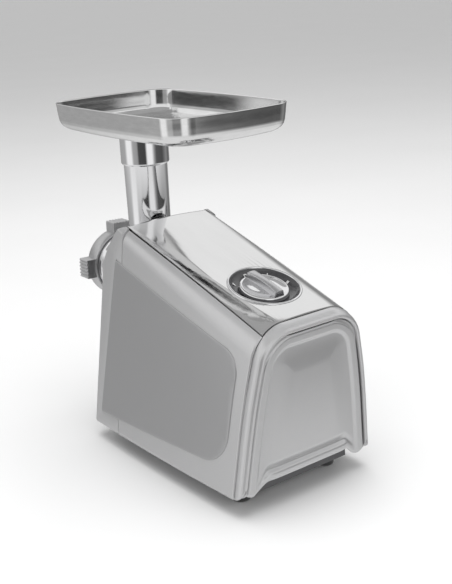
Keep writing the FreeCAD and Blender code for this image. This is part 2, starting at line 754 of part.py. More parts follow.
def make_screw(knife_start, knife_thick):
    """The feed screw: core, flight, journal, square tang and the knife's square."""
    axis_y, axis_z = size_of("tube_place", "head_axis")
    core, reach, pitch = size_of("screw_core", "screw_radius", "screw_pitch")
    start = knife_start + knife_thick + 0.05
    end = axis_y + value("barrel_back") - value("back_wall") - 0.3
    solid = cylinder_y(core, start, end, 0, axis_z)
    journal = cylinder_y(value("journal"), end, axis_y + value("barrel_back") + 1, 0, axis_z)
    half = value("tang_half")
    tang = Part.makeBox(2 * half, 17.0, 2 * half, Vector(-half, axis_y + value("barrel_back"), axis_z - half))
    square = Part.makeBox(8.4, knife_thick + 1, 8.4, Vector(-4.2, knife_start - 0.02, axis_z - 4.2))
    pin = cylinder_y(5.0, knife_start - value("plate_thick"), knife_start, 0, axis_z)
    for more in (journal, tang, square, pin):
        solid = solid.fuse(more)
    turns = (end - start - 8.0) / pitch
    path = Part.makeHelix(pitch, turns * pitch, core + 4.0)
    corner = [Vector(core - 2.0, 0, -2.6), Vector(reach, 0, -1.2), Vector(reach, 0, 1.2), Vector(core - 2.0, 0, 2.6)]
    section = Part.makePolygon(corner + corner[:1])
    sweep = Part.BRepOffsetAPI.MakePipeShell(Part.Wire(path.Edges))
    sweep.setFrenetMode(True)
    sweep.add(section)
    sweep.build()
    sweep.makeSolid()
    flight = sweep.shape()
    flight.rotate(Vector(), Vector(1, 0, 0), -90)
    flight.translate(Vector(0, start + 4.0, axis_z))
    keep(formed("feed_screw", solid.fuse(flight).removeSplitter()))


def tray_wire(level, inset, corner_scale=1.0):
    """The tray's outline at one height: four bowed sides and four round corners."""
    half_x = value("tray_half_width") - inset
    half_y = value("tray_half_length") - inset
    bulge = value("tray_bulge")
    radius = value("tray_corner") * corner_scale
    middle = value("tube_place") + value("tray_offset")

    def at(x, y):
        return Vector(x, middle + y, level)

    arc = rounded(at(0, half_y), at(half_x, half_y), at(half_x, 0), radius)
    quarter = [arc]
    edges = []
    signs = ((1, 1), (1, -1), (-1, -1), (-1, 1))
    arcs = []
    for sx, sy in signs:
        points = [Vector(sx * p.x, middle + sy * (p.y - middle), level) for p in quarter[0]]
        arcs.append(points if sx * sy > 0 else points[::-1])
    long_x, long_y = half_x + bulge, half_y + bulge
    sides = (at(long_x, 0), at(0, -long_y), at(-long_x, 0), at(0, long_y))
    for number in range(4):
        edges.append(Part.Arc(*arcs[number]))
        edges.append(Part.Arc(arcs[number][2], sides[number], arcs[(number + 1) % 4][0]))
    return wire(*edges)


def make_tray():
    rim, knee, floor = size_of("tray_rim", "tray_knee", "collar_top")
    thick, draft, inset = size_of("tray_wall", "tray_draft", "tray_bottom_inset")

    def dish(offset, low, high):
        levels = [(floor + low, inset), (floor + low + (knee - floor) * 0.35, inset * 0.45),
                  (knee + low, draft), (rim + high, 0.0)]
        wires = [tray_wire(level, more + offset, 1.0) for level, more in levels]
        return Part.makeLoft(wires, True, True)

    tray = dish(0, 0, 0).cut(dish(thick, thick, 1.0))
    axis = Vector(0, value("tube_place"), floor - value("spigot_length"))
    bore = value("tube_bore") + 0.6
    spigot = Part.makeCylinder(value("tube_bore") + 3.0, value("spigot_length") + thick, axis)
    hole = Part.makeCylinder(bore, 80.0, axis - Vector(0, 0, 10))
    keep(formed("hopper_tray", tray.fuse(spigot).cut(hole).removeSplitter()))


# ---------------------------------------------------------------- dial

def make_dial():
    bezel = turned("dial_recess", [
        ("7", "0 - recess_depth - 1.5"), ("recess_radius + 1.2", "0 - recess_depth - 1.5"),
        ("recess_radius + 1.2", "0.05"), ("bezel_radius", "0.05"), ("bezel_radius", "0.8"),
        ("bezel_radius - 0.8", "1.4"), ("recess_radius", "1.4"), ("recess_radius", "0 - recess_depth"),
        ("7", "0 - recess_depth"),
    ], upright=True)
    bezel.Placement = dial_frame()
    keep(bezel)

    skirt = turned("knob_skirt_body", [
        ("4.05", "0 - recess_depth + 0.4"), ("knob_radius - 1", "0 - recess_depth + 0.4"),
        ("knob_radius", "0 - recess_depth + 1.4"), ("knob_radius - 1.2", "0 - recess_depth + knob_skirt"),
        ("knob_radius - 3", "0 - recess_depth + knob_skirt + 1"), ("0", "0 - recess_depth + knob_skirt + 1"),
        ("0", "0"), ("4.05", "0"),
    ], upright=True)
    doc.recompute()
    low = value("knob_skirt") - value("recess_depth") - 1.0
    grip = Part.makeBox(value("grip_width"), 2 * value("knob_radius") - 4.0, value("grip_height"),
                        Vector(-value("grip_width") / 2, -value("knob_radius") + 2.0, low))
    grip = grip.makeFillet(3.0, [edge for edge in grip.Edges if edge.CenterOfMass.z > low + 1.0])
    knob = formed("dial_knob", skirt.Shape.fuse(grip).removeSplitter())
    knob.Placement = dial_frame()
    keep(knob)

    spindle = turned("dial_spindle", [
        ("0", "0 - recess_depth - 20"), ("4", "0 - recess_depth - 20"), ("4", "0 - 0.1"), ("0", "0 - 0.1"),
    ], upright=True)
    spindle.Placement = dial_frame()
    keep(spindle)

    block = Part.makeBox(34.0, 34.0, 18.0, Vector(-17.0, -17.0, -value("recess_depth") - 1.5 - 18.0))
    bore = Part.makeCylinder(4.05, 30.0, Vector(0, 0, -30.0))
    switch = formed("rotary_switch", block.cut(bore))
    switch.Placement = dial_frame()
    keep(switch)


# ---------------------------------------------------------------- head socket and lock

def make_socket():
    cup = turned("socket_cup", [
        ("flange_radius + 0.3", "0 - socket_front"), ("socket_outer", "0 - socket_front"),
        ("socket_outer", "socket_back"), ("13", "socket_back"), ("13", "socket_seat"),
        ("flange_radius + 0.3", "socket_seat"),
    ])
    place(cup, y="tube_place", z="head_axis")
    slot = box("socket_slot", ("2 * (collar_radius + 1.5)", "socket_front + collar_radius + 5", "60"),
               ("0 - collar_radius - 1.5", "tube_place - socket_front - 2", "head_axis"))
    keep(cut("head_socket", cup, slot))

    x, z = lock_spot()
    front = value("tube_place")
    stem = cylinder_y(7.0, front - 17.0, front + 10.0, x, z)
    stem = stem.makeFillet(1.5, [edge for edge in stem.Edges if edge.CenterOfMass.y < front - 16.0])
    collar = cylinder_y(9.0, front + 7.0, front + 10.0, x, z)
    keep(formed("lock_button", stem.fuse(collar).removeSplitter()))
    spring = Part.makeCylinder(6.0, 14.9, Vector(x, front + 10.0, z), Vector(0, 1, 0))
    spring = spring.cut(Part.makeCylinder(4.6, 16.0, Vector(x, front + 9.5, z), Vector(0, 1, 0)))
    keep(formed("lock_spring", spring))
    bracket = Part.makeBox(26.0, 2.5, 20.0, Vector(x - 11.0, front + 25.0, z - 10.0))
    foot = Part.makeBox(10.0, 2.5, 40.0, Vector(x + 5.0, front + 25.0, z - 10.0))
    mouth_wall = value("socket_outer") + value("fit") + value("wall")
    cup_room = cylinder_y(mouth_wall, front - 20, front + 60, 0, value("head_axis"))
    keep(formed("lock_bracket", bracket.fuse(foot).cut(cup_room).removeSplitter()))


# ---------------------------------------------------------------- gears

PRESSURE = math.radians(20.0)


def gear_face(teeth, module, phase, backlash=0.10):
    """An involute spur gear's outline about the origin, with a tooth centred at the phase angle."""
    pitch = module * teeth / 2
    base = pitch * math.cos(PRESSURE)
    tip = pitch + 0.9 * module
    root = pitch - 1.2 * module
    half_pitch = math.pi / (2 * teeth) - backlash / (2 * pitch)
    involute = math.tan(PRESSURE) - PRESSURE

    def half_at(radius):
        if radius <= base:
            return half_pitch + involute
        angle = math.acos(base / radius)
        return half_pitch + involute - (math.tan(angle) - angle)

    start = max(base, root)
    steps = [start + (tip - start) * step / 4 for step in range(5)]
    points = []
    for number in range(teeth):
        centre = phase + 2 * math.pi * number / teeth
        flank = [(root, half_at(start))] + [(radius, half_at(radius)) for radius in steps]
        for radius, half in flank:
            points.append((radius, centre - half))
        for radius, half in reversed(flank):
            points.append((radius, centre + half))
    corners = []
    for radius, angle in points:
        corner = Vector(radius * math.cos(angle), 0, radius * math.sin(angle))
        if not corners or corner.distanceToPoint(corners[-1]) > 1e-4:
            corners.append(corner)
    return Part.Face(Part.makePolygon(corners + corners[:1]))


def gear(teeth, module, phase, start, width, x, z):
    face = gear_face(teeth, module, phase)
    face.translate(Vector(x, start, z))
    return face.extrude(Vector(0, width, 0))


def meshed(phase, teeth, other_teeth, direction):
    """Phase of a gear that meshes with one at the given phase, which lies behind it along direction."""
    return direction + math.pi + (math.pi - (phase - direction) * teeth) / other_teeth


def gear_axes():
    """Places (x, z) of the motor, the two spindles and the output, from the gears' sizes."""
    motor = (0.0, value("motor_axis"))
    output = (0.0, value("head_axis"))
    first_reach = value("motor_module") * (TEETH["motor"] + TEETH["first"]) / 2
    second_reach = value("middle_module") * (TEETH["small"] + TEETH["second"]) / 2
    third_reach = value("last_module") * (TEETH["small"] + TEETH["output"]) / 2
    lean = math.radians(24.0)
    first = (motor[0] + first_reach * math.sin(lean), motor[1] + first_reach * math.cos(lean))
    across, up = output[0] - first[0], output[1] - first[1]
    span = math.hypot(across, up)
    along = (span * span + second_reach ** 2 - third_reach ** 2) / (2 * span)
    aside = math.sqrt(second_reach ** 2 - along ** 2)
    second = (first[0] + (across * along - up * aside) / span, first[1] + (up * along + across * aside) / span)
    return motor, first, second, output


TEETH = {"motor": 12, "first": 60, "small": 12, "second": 48, "output": 42}


def direction(start, end):
    return math.atan2(end[1] - start[1], end[0] - start[0])


def make_gears():
    ty = value("tube_place")
    motor, first, second, output = gear_axes()
    layer_one, layer_two, layer_three = ty + 76.0, ty + 65.0, ty + 51.0
    m_one, m_two, m_three = size_of("motor_module", "middle_module", "last_module")
    bore = value("spindle_radius") + value("running")

    first_phase = meshed(0.0, TEETH["motor"], TEETH["first"], direction(motor, first))
    second_phase = meshed(0.0, TEETH["small"], TEETH["second"], direction(first, second))
    output_phase = meshed(0.0, TEETH["small"], TEETH["output"], direction(second, output))

    big = gear(TEETH["first"], m_one, first_phase, layer_one, 8.0, *first)
    small = gear(TEETH["small"], m_two, 0.0, layer_two, 11.0, *first)
    hole = cylinder_y(bore, ty, ty + 200, *first)
    keep(formed("first_gear", big.fuse(small).cut(hole).removeSplitter()))

    big = gear(TEETH["second"], m_two, second_phase, layer_two, 10.0, *second)
    small = gear(TEETH["small"], m_three, 0.0, layer_three, 14.0, *second)
    hole = cylinder_y(bore, ty, ty + 200, *second)
    keep(formed("second_gear", big.fuse(small).cut(hole).removeSplitter()))

    shaft_radius = 9.0
    half = value("tang_half") + 0.15
    big = gear(TEETH["output"], m_three, output_phase, layer_three, 12.0, *output)
    keep(formed("output_gear", big.cut(cylinder_y(shaft_radius, ty, ty + 200, *output)).removeSplitter()))
    shaft = cylinder_y(shaft_radius, ty + 34.5, ty + 64.0, *output)
    tail = cylinder_y(5.0, ty + 64.0, ty + value("case_back") + 2.0, *output)
    nose = cylinder_y(12.0, ty + 35.3, ty + 42.0, *output)
    square = Part.makeBox(2 * half, 19.0, 2 * half, Vector(-half, ty + 34.0, output[1] - half))
    keep(formed("output_shaft", shaft.fuse(tail).fuse(nose).cut(square).removeSplitter()))

    for name, spot in (("first_spindle", first), ("second_spindle", second)):
        start, end = ty + value("case_front") + 0.5, ty + value("case_back") + 2.5
        keep(formed(name, cylinder_y(value("spindle_radius"), start, end, *spot)))

    pinion = gear(TEETH["motor"], m_one, 0.0, layer_one - 0.5, 9.0, *motor)
    shaft = cylinder_y(4.0, ty + 84.0, ty + value("motor_back") - 2.0, *motor)
    keep(formed("motor_shaft", pinion.fuse(shaft).removeSplitter()))


def make_gearbox():
    ty = value("tube_place")
    motor, first, second, output = gear_axes()
    front, back, thick = size_of("case_front", "case_back", "case_wall")
    half, low, high = size_of("case_half", "case_bottom", "case_top")
    block = Part.makeBox(2 * half, back - front, high - low, Vector(-half, ty + front, low))
    room = Part.makeBox(2 * (half - thick), back, high - low - 2 * thick,
                        Vector(-half + thick, ty + front + thick, low + thick))
    case = block.cut(room)
    for x, z in case_screw_spots():
        post = cylinder_y(4.5, ty + front, ty + back, x, z)
        case = case.fuse(post)
    # pads that the socket's back rests on
    case = case.fuse(cylinder_y(value("pad_radius"), ty + value("socket_back"), ty + front + thick, *output))
    case = case.cut(cylinder_y(16.0, ty, ty + front + 0.01, *output))
    case = case.cut(cylinder_y(9.0 + 3.0, ty, ty + front + 20, *output))
    for spot in (first, second):
        case = case.fuse(cylinder_y(7.0, ty + front, ty + front + 4.5, *spot))
        case = case.cut(cylinder_y(value("spindle_radius"), ty + front + 0.5, ty + front + 20, *spot))
    for x, z in case_screw_spots():
        case = case.cut(cylinder_y(1.5, ty + back - 14.0, ty + back + 1, x, z))
    keep(formed("gearbox_case", largest(case.removeSplitter())))

    bush = cylinder_y(12.0, ty + front - 3.8, ty + front + thick, *output)
    bush = bush.cut(cylinder_y(9.0 + value("running"), ty, ty + 100, *output))
    keep(formed("output_bush", bush))

    cover = Part.makeBox(2 * half, thick, high - low, Vector(-half, ty + back, low))
    cover = cover.cut(cylinder_y(5.0 + value("running"), ty, ty + back + 2.2, *output))
    for spot in (first, second):
        cover = cover.cut(cylinder_y(value("spindle_radius"), ty, ty + back + 2.5, *spot))
    cover = cover.cut(cylinder_y(9.0, ty, ty + 200, *motor))
    for x, z in case_screw_spots():
        cover = cover.cut(cylinder_y(1.8, ty, ty + 200, x, z))
    keep(formed("gearbox_cover", cover))

    screws = []
    for x, z in case_screw_spots():
        head = cylinder_y(3.4, ty + back + thick, ty + back + thick + 2.5, x, z)
        screws.append(head.fuse(cylinder_y(1.5, ty + back - 13.0, ty + back + thick, x, z)).removeSplitter())
    keep(formed("gearbox_screws", Part.makeCompound(screws)))


def case_screw_spots():
    half, low, high = size_of("case_half", "case_bottom", "case_top")
    edge = 7.0
    return [(x, z) for x in (half - edge, edge - half) for z in (low + edge, high - edge)]


# ---------------------------------------------------------------- motor

def make_motor():
    ty = value("tube_place")
    x, z = 0.0, value("motor_axis")
    back, thick = size_of("case_back", "case_wall")
    start, length = ty + value("stator_front"), value("stator_length")
    half, rotor = size_of("stator_half", "rotor_radius")
    plate_start = ty + back + thick

    def bracket(first, depth, boss_start, boss_end):
        bar = Part.makeBox(2 * half, depth, 30.0, Vector(-half, first, z - 15.0))
        boss = cylinder_y(11.0, boss_start, boss_end, x, z)
        solid = bar.fuse(boss)
        solid = solid.cut(cylinder_y(7.5, boss_start - 1, boss_end + 1, x, z))
        for side in (-1, 1):
            solid = solid.cut(cylinder_y(2.1, first - 1, first + depth + 1, side * (half - 6.0), z))
        return solid.removeSplitter()

    keep(formed("motor_front_bracket", bracket(plate_start, 3.0, plate_start, plate_start + 7.0)))
    rear = ty + value("motor_back")
    keep(formed("motor_rear_bracket", bracket(rear - 3.0, 3.0, rear - 8.0, rear)))

    bearings = []
    for low, high in ((plate_start, plate_start + 7.0), (rear - 8.0, rear)):
        sleeve = cylinder_y(7.5, low, high, x, z).cut(cylinder_y(4.0 + value("running"), low - 1, high + 1, x, z))
        bearings.append(sleeve)
    keep(formed("motor_bearings", Part.makeCompound(bearings)))

    block = Part.makeBox(2 * half, length, 2 * half - 8.0, Vector(-half, start, z - half + 4.0))
    block = block.makeFillet(8.0, [edge for edge in block.Edges if abs(edge.tangentAt(edge.FirstParameter).y) > 0.9])
    stator = block.cut(cylinder_y(rotor + 0.6, start - 1, start + length + 1, x, z))
    windows = []
    coil_reach = rotor + 5.5
    for side in (-1, 1):
        window = Part.makeBox(26.0, length + 2, 6.4, Vector(-13.0, start - 1, z + side * coil_reach - 3.2))
        windows.append(window)
        stator = stator.cut(cylinder_y(2.1, start - 1, start + length + 1, side * (half - 6.0), z))
    keep(formed("stator_core", largest(stator.cut(Part.makeCompound(windows)))))

    coils = []
    for side in (-1, 1):
        low = z + side * coil_reach - 3.0
        coil = Part.makeBox(25.0, length + 10.0, 6.0, Vector(-12.5, start - 5.0, low))
        coils.append(coil)
    keep(formed("field_coils", Part.makeCompound(coils)))

    bolts = []
    for side in (-1, 1):
        bolt = cylinder_y(2.0, plate_start, rear + 4.0, side * (half - 6.0), z)
        bolt = bolt.fuse(cylinder_y(4.0, rear, rear + 3.0, side * (half - 6.0), z))
        bolts.append(bolt.removeSplitter())
    keep(formed("motor_bolts", Part.makeCompound(bolts)))

    core = cylinder_y(rotor, start, start + length, x, z)
    slots = []
    for number in range(12):
        turn = 2 * math.pi * number / 12
        slots.append(cylinder_y(2.6, start - 1, start + length + 1,
                                (rotor - 3.4) * math.cos(turn), z + (rotor - 3.4) * math.sin(turn)))
    core = core.cut(Part.makeCompound(slots)).cut(cylinder_y(4.0, start - 1, start + length + 1, x, z))
    keep(formed("rotor_core", core))
    end_turns = []
    for low, high in ((start - 7.0, start), (start + length, start + length + 7.0)):
        end_turns.append(cylinder_y(rotor - 2.5, low, high, x, z).cut(cylinder_y(4.0, low - 1, high + 1, x, z)))
    keep(formed("rotor_windings", Part.makeCompound(end_turns)))

    brush_low = start + length + 9.0
    commutator = cylinder_y(10.0, brush_low, brush_low + 14.0, x, z)
    keep(formed("commutator", commutator.cut(cylinder_y(4.0, brush_low - 1, brush_low + 20, x, z))))
    brushes, holders = [], []
    for side in (-1, 1):
        near, far = 10.1, 22.0
        low_x = near if side > 0 else -far
        brushes.append(Part.makeBox(far - near, 8.0, 5.0, Vector(low_x, brush_low + 3.0, z - 2.5)))
        low_x = near + 2.0 if side > 0 else -far - 8.0
        sleeve = Part.makeBox(far - near + 6.0, 11.0, 8.0, Vector(low_x, brush_low + 1.5, z - 4.0))
        sleeve = sleeve.cut(Part.makeBox(far - near - 2.0 + 6.0, 8.1, 5.1,
                                         Vector(low_x if side > 0 else low_x + 2.0, brush_low + 2.95, z - 2.55)))
        arm = Part.makeBox(8.0, rear - 3.0 - brush_low - 12.5, 8.0,
                           Vector(low_x + 5.0 if side > 0 else low_x + 5.0, brush_low + 12.5, z - 4.0))
        holders.append(sleeve.fuse(arm).removeSplitter())
    keep(formed("carbon_brushes", Part.makeCompound(brushes)))
    keep(formed("brush_holders", Part.makeCompound(holders)))

    fan_low = plate_start + 8.0
    hub = cylinder_y(9.0, fan_low, fan_low + 6.0, x, z).fuse(cylinder_y(27.0, fan_low, fan_low + 1.5, x, z))
    for number in range(9):
        blade = Part.makeBox(18.5, 6.0, 1.5, Vector(8.0, fan_low, z - 0.75))
        blade.rotate(Vector(0, 0, z), Vector(0, 1, 0), 40 * number)
        hub = hub.fuse(blade)
    keep(formed("cooling_fan", hub.cut(cylinder_y(4.0, fan_low - 1, fan_low + 10, x, z)).removeSplitter()))


def make_electrics():
    ty = value("tube_place")
    level = value("pan_bottom") + value("base_wall")
    block = Part.makeBox(30.0, 14.0, 12.0, Vector(18.0, value("foot_rear") - 24.0, level))
    for number in range(3):
        block = block.cut(Part.makeCylinder(1.6, 9.0, Vector(23.0 + 10 * number, value("foot_rear") - 17.0, level + 4)))
    keep(formed("terminal_block", block))
    can = cylinder_y(9.0, ty + 105.0, ty + 145.0, -50.0, level + 14.0)
    saddle = Part.makeBox(14.0, 8.0, 6.0, Vector(-57.0, ty + 120.0, level))
    saddle = saddle.cut(cylinder_y(9.0, ty + 100.0, ty + 150.0, -50.0, level + 14.0))
    keep(formed("motor_capacitor", can))
    keep(formed("capacitor_saddle", saddle))


make_casing()
make_base()
make_feet()
make_head()
make_tray()
make_dial()
make_socket()
make_gears()
make_gearbox()
make_motor()
make_electrics()
doc.recompute()

for thing in doc.Objects:
    if "Invalid" in thing.State or "Error" in thing.State:
        raise RuntimeError(f"{thing.Name} failed: {thing.State}")
for part in PARTS:
    if part.Shape.isNull() or not part.Shape.isValid() or part.Shape.Volume <= 0:
        raise RuntimeError(f"{part.Label} has no valid shape")

os.makedirs("parts", exist_ok=True)
for part in PARTS:
    part.Shape.exportStep(f"parts/{part.Label}.step")
    print(part.Label, len(part.Shape.Solids), round(part.Shape.Volume))
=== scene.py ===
import math

import bmesh
import bpy
from mathutils import Matrix, Vector


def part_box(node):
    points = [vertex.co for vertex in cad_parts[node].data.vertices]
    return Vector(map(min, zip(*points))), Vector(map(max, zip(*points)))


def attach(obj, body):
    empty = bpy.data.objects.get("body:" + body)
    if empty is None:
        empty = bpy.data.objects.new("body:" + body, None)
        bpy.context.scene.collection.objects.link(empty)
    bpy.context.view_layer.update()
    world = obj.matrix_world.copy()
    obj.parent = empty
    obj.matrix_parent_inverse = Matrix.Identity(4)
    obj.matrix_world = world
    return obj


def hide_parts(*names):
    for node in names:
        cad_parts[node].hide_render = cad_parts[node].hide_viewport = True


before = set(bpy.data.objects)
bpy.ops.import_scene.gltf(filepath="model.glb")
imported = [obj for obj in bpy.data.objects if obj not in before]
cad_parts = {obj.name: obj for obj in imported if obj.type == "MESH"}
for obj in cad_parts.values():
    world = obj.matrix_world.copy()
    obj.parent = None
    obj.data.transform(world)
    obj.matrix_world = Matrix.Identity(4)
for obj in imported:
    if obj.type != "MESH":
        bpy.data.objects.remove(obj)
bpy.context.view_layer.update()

MM = 0.001

# ------------------------------------------------------------------ camera
# The camera stands behind the machine's left side, a little above its top, and looks down
# towards the feed tube.

camera_data = bpy.data.cameras.new("camera")
camera_data.lens = 63.54
camera_data.sensor_fit = "VERTICAL"
camera_data.sensor_height = 36.0
camera_data.clip_start = 0.05
camera = bpy.data.objects.new("camera", camera_data)
camera_right = Vector((-0.79105213, 0.6096121, -0.05108436))
camera_up = Vector((-0.22163287, -0.20776, 0.9527406))
camera_back = Vector((0.57018892, 0.76498945, 0.29945907))
camera_turn = Matrix((camera_right, camera_up, camera_back)).transposed().to_4x4()
camera.matrix_world = Matrix.Translation(Vector((0.6016, 0.8510, 0.4985))) @ camera_turn
bpy.context.scene.collection.objects.link(camera)
bpy.context.scene.camera = camera
bpy.context.scene.view_settings.view_transform = "Standard"

# ------------------------------------------------------------------ floor and studio light
# A plain pale floor, and a studio whose walls run from light to dark round the machine, so
# that polished metal has something to show. Two large soft lamps stand outside the view.


def finish(name, colour, rough, metal=0.0, grain=300.0, stretch=(1, 1, 1), shade=0.04,
           uneven=0.05, relief=0.0, coat=0.0):
    """A material whose colour, gloss and relief follow a fine grain; stretch draws it out."""
    material = bpy.data.materials.new(name)
    material.use_nodes = True
    nodes, links = material.node_tree.nodes, material.node_tree.links
    shader = nodes["Principled BSDF"]
    shader.inputs["Metallic"].default_value = metal
    shader.inputs["Coat Weight"].default_value = coat
    shader.inputs["Coat Roughness"].default_value = 0.12
    spot = nodes.new("ShaderNodeTexCoord")
    place = nodes.new("ShaderNodeMapping")
    place.inputs["Scale"].default_value = stretch
    noise = nodes.new("ShaderNodeTexNoise")
    noise.inputs["Scale"].default_value = grain
    noise.inputs["Detail"].default_value = 3.0
    links.new(spot.outputs["Object"], place.inputs["Vector"])
    links.new(place.outputs["Vector"], noise.inputs["Vector"])
    tint = nodes.new("ShaderNodeValToRGB")
    tint.color_ramp.elements[0].position = 0.25
    tint.color_ramp.elements[1].position = 0.75
    tint.color_ramp.elements[0].color = (*[c * (1 - shade) for c in colour], 1)
    tint.color_ramp.elements[1].color = (*[min(1.0, c * (1 + shade)) for c in colour], 1)
    links.new(noise.outputs["Fac"], tint.inputs["Fac"])
    links.new(tint.outputs["Color"], shader.inputs["Base Color"])
    gloss = nodes.new("ShaderNodeMapRange")
    gloss.inputs["From Min"].default_value = 0.25
    gloss.inputs["From Max"].default_value = 0.75
    gloss.inputs["To Min"].default_value = max(0.02, rough - uneven)
    gloss.inputs["To Max"].default_value = min(1.0, rough + uneven)
    links.new(noise.outputs["Fac"], gloss.inputs["Value"])
    links.new(gloss.outputs["Result"], shader.inputs["Roughness"])
    if relief > 0:
        bump = nodes.new("ShaderNodeBump")
        bump.inputs["Strength"].default_value = relief
        bump.inputs["Distance"].default_value = 0.0004
        links.new(noise.outputs["Fac"], bump.inputs["Height"])
        links.new(bump.outputs["Normal"], shader.inputs["Normal"])
    return material


def shown(name, form, material=None, smooth=True):
    """Makes a finished bmesh into an object at the origin."""
    mesh = bpy.data.meshes.new(name)
    form.to_mesh(mesh)
    form.free()
    if smooth:
        mesh.shade_smooth()
    if material:
        mesh.materials.append(material)
    thing = bpy.data.objects.new(name, mesh)
    bpy.context.scene.collection.objects.link(thing)
    return thing


form = bmesh.new()
bmesh.ops.create_grid(form, x_segments=1, y_segments=1, size=30.0)
floor = shown("floor", form, finish("floor_paint", (0.86, 0.86, 0.86), 0.7, grain=3.0, shade=0.01), False)
floor.visible_glossy = False


def softbox(name, place, aim, wide, high, power):
    data = bpy.data.lights.new(name, "AREA")
    data.shape = "RECTANGLE"
    data.size = wide
    data.size_y = high
    data.energy = power
    lamp = bpy.data.objects.new(name, data)
    lamp.location = place
    lamp.rotation_euler = (Vector(aim) - Vector(place)).to_track_quat("-Z", "Y").to_euler()
    lamp.visible_glossy = False
    bpy.context.scene.collection.objects.link(lamp)


softbox("overhead_lamp", (0.1, 0.1, 2.4), (0, 0, 0.1), 2.2, 2.2, 48)
softbox("rear_lamp", (-0.7, 2.1, 1.3), (0, 0, 0.15), 1.4, 1.2, 6)

world = bpy.data.worlds.new("studio")
world.use_nodes = True
sky, wires = world.node_tree.nodes, world.node_tree.links
spot = sky.new("ShaderNodeTexCoord")
round_turn = sky.new("ShaderNodeMapping")
round_turn.inputs["Rotation"].default_value = (0, 0, math.radians(-53.3))
round_about = sky.new("ShaderNodeTexGradient")
round_about.gradient_type = "RADIAL"
walls = sky.new("ShaderNodeValToRGB")
# share of a turn, from the side opposite the camera, and the brightness there
WALL_STOPS = ((0.0, 0.40), (0.12, 0.38), (0.22, 0.42), (0.26, 0.95), (0.325, 0.95),
              (0.355, 0.40), (0.41, 0.34), (0.43, 0.07), (0.52, 0.06),
              (0.545, 0.95), (0.605, 0.95), (0.635, 0.34), (0.665, 0.10),
              (0.76, 0.08), (0.84, 0.26), (0.90, 0.12), (1.0, 0.40))
ramp = walls.color_ramp
while len(ramp.elements) < len(WALL_STOPS):
    ramp.elements.new(0.5)
for element, (place, level) in zip(ramp.elements, WALL_STOPS):
    element.position = place
    element.color = (level, level, level, 1)
split = sky.new("ShaderNodeSeparateXYZ")
height = sky.new("ShaderNodeMapRange")
height.interpolation_type = "SMOOTHSTEP"
height.inputs["From Min"].default_value = 0.12
height.inputs["From Max"].default_value = 0.55
ceiling = sky.new("ShaderNodeMix")
ceiling.data_type = "RGBA"
ceiling.inputs[7].default_value = (0.92, 0.92, 0.92, 1)
wires.new(spot.outputs["Generated"], round_turn.inputs["Vector"])
wires.new(round_turn.outputs["Vector"], round_about.inputs["Vector"])
wires.new(round_about.outputs["Fac"], walls.inputs["Fac"])
wires.new(spot.outputs["Generated"], split.inputs["Vector"])
wires.new(split.outputs["Z"], height.inputs["Value"])
wires.new(height.outputs["Result"], ceiling.inputs[0])
wires.new(walls.outputs["Color"], ceiling.inputs[6])
depth = sky.new("ShaderNodeMapRange")
depth.interpolation_type = "SMOOTHSTEP"
depth.inputs["From Min"].default_value = -0.24
depth.inputs["From Max"].default_value = -0.64
ground = sky.new("ShaderNodeMix")
ground.data_type = "RGBA"
ground.inputs[7].default_value = (0.80, 0.80, 0.80, 1)
wires.new(split.outputs["Z"], depth.inputs["Value"])
wires.new(depth.outputs["Result"], ground.inputs[0])
wires.new(ceiling.outputs[2], ground.inputs[6])
above = sky.new("ShaderNodeMapRange")
above.interpolation_type = "SMOOTHSTEP"
above.inputs["From Min"].default_value = 0.694
above.inputs["From Max"].default_value = 0.712
zenith = sky.new("ShaderNodeMix")
zenith.data_type = "RGBA"
zenith.inputs[7].default_value = (0.40, 0.40, 0.40, 1)
wires.new(split.outputs["Z"], above.inputs["Value"])
wires.new(above.outputs["Result"], zenith.inputs[0])
wires.new(ground.outputs[2], zenith.inputs[6])
wires.new(zenith.outputs[2], sky["Background"].inputs["Color"])
sky["Background"].inputs["Strength"].default_value = 1.0
bpy.context.scene.world = world

# ------------------------------------------------------------------ side shells
# Two moulded plastic halves in satin silver paint, screwed together through the base. They
# meet at the front, and the steel cover lies in the gap along their top.

silver_paint = finish("silver_paint", (0.60, 0.60, 0.605), 0.32, 0.65, grain=1800, shade=0.03,
                      uneven=0.03, relief=0.03, coat=0.15)


MERGE_REACH, FLAT_ANGLE, SOFTENED_ANGLE = 0.002 * MM, 0.6, 32


def softened(name, node, body, material, radius, segments=3, shift=(0, 0, 0), size=(1, 1, 1)):
    """A CAD node's own form, merged, with its sharp edges rounded over."""
    form = bmesh.new()
    form.from_mesh(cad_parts[node].data)
    bmesh.ops.remove_doubles(form, verts=form.verts, dist=MERGE_REACH)
    bmesh.ops.dissolve_limit(form, angle_limit=math.radians(FLAT_ANGLE), verts=form.verts, edges=form.edges)
    low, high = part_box(node)
    middle = (Vector(low) + Vector(high)) / 2
    space = Matrix.Translation(-middle)
    bmesh.ops.scale(form, vec=size, space=space, verts=form.verts)
    bmesh.ops.translate(form, vec=Vector(shift) * MM, verts=form.verts)
    piece = shown(name, form, material)
    rounding = piece.modifiers.new("rounding", "BEVEL")
    rounding.width = radius * MM
    rounding.segments = segments
    rounding.limit_method = "ANGLE"
    rounding.angle_limit = math.radians(SOFTENED_ANGLE)
    rounding.harden_normals = True
    rounding.miter_outer = "MITER_ARC"
    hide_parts(node)
    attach(piece, body)
    return piece


# the foot of the sides, half their width there and how far they lean in for each millimetre
HOUSING_FOOT, SIDE_HALF, SIDE_LEAN = 20.0, 88.0, 0.12
REAR_FOOT, REAR_LEAN = 164.0, 0.079
# the sloping top's front edge, and its height and fall
TOP_FRONT, TOP_LEVEL, SLOPE = -57.0, 246.0, math.radians(15.0)
# radius of the top's long edges at the front, and its growth for each millimetre
CROWN_ROUND, CROWN_SOFTENING, LEAST_ROUND = 17.0, 0.085, 2.0
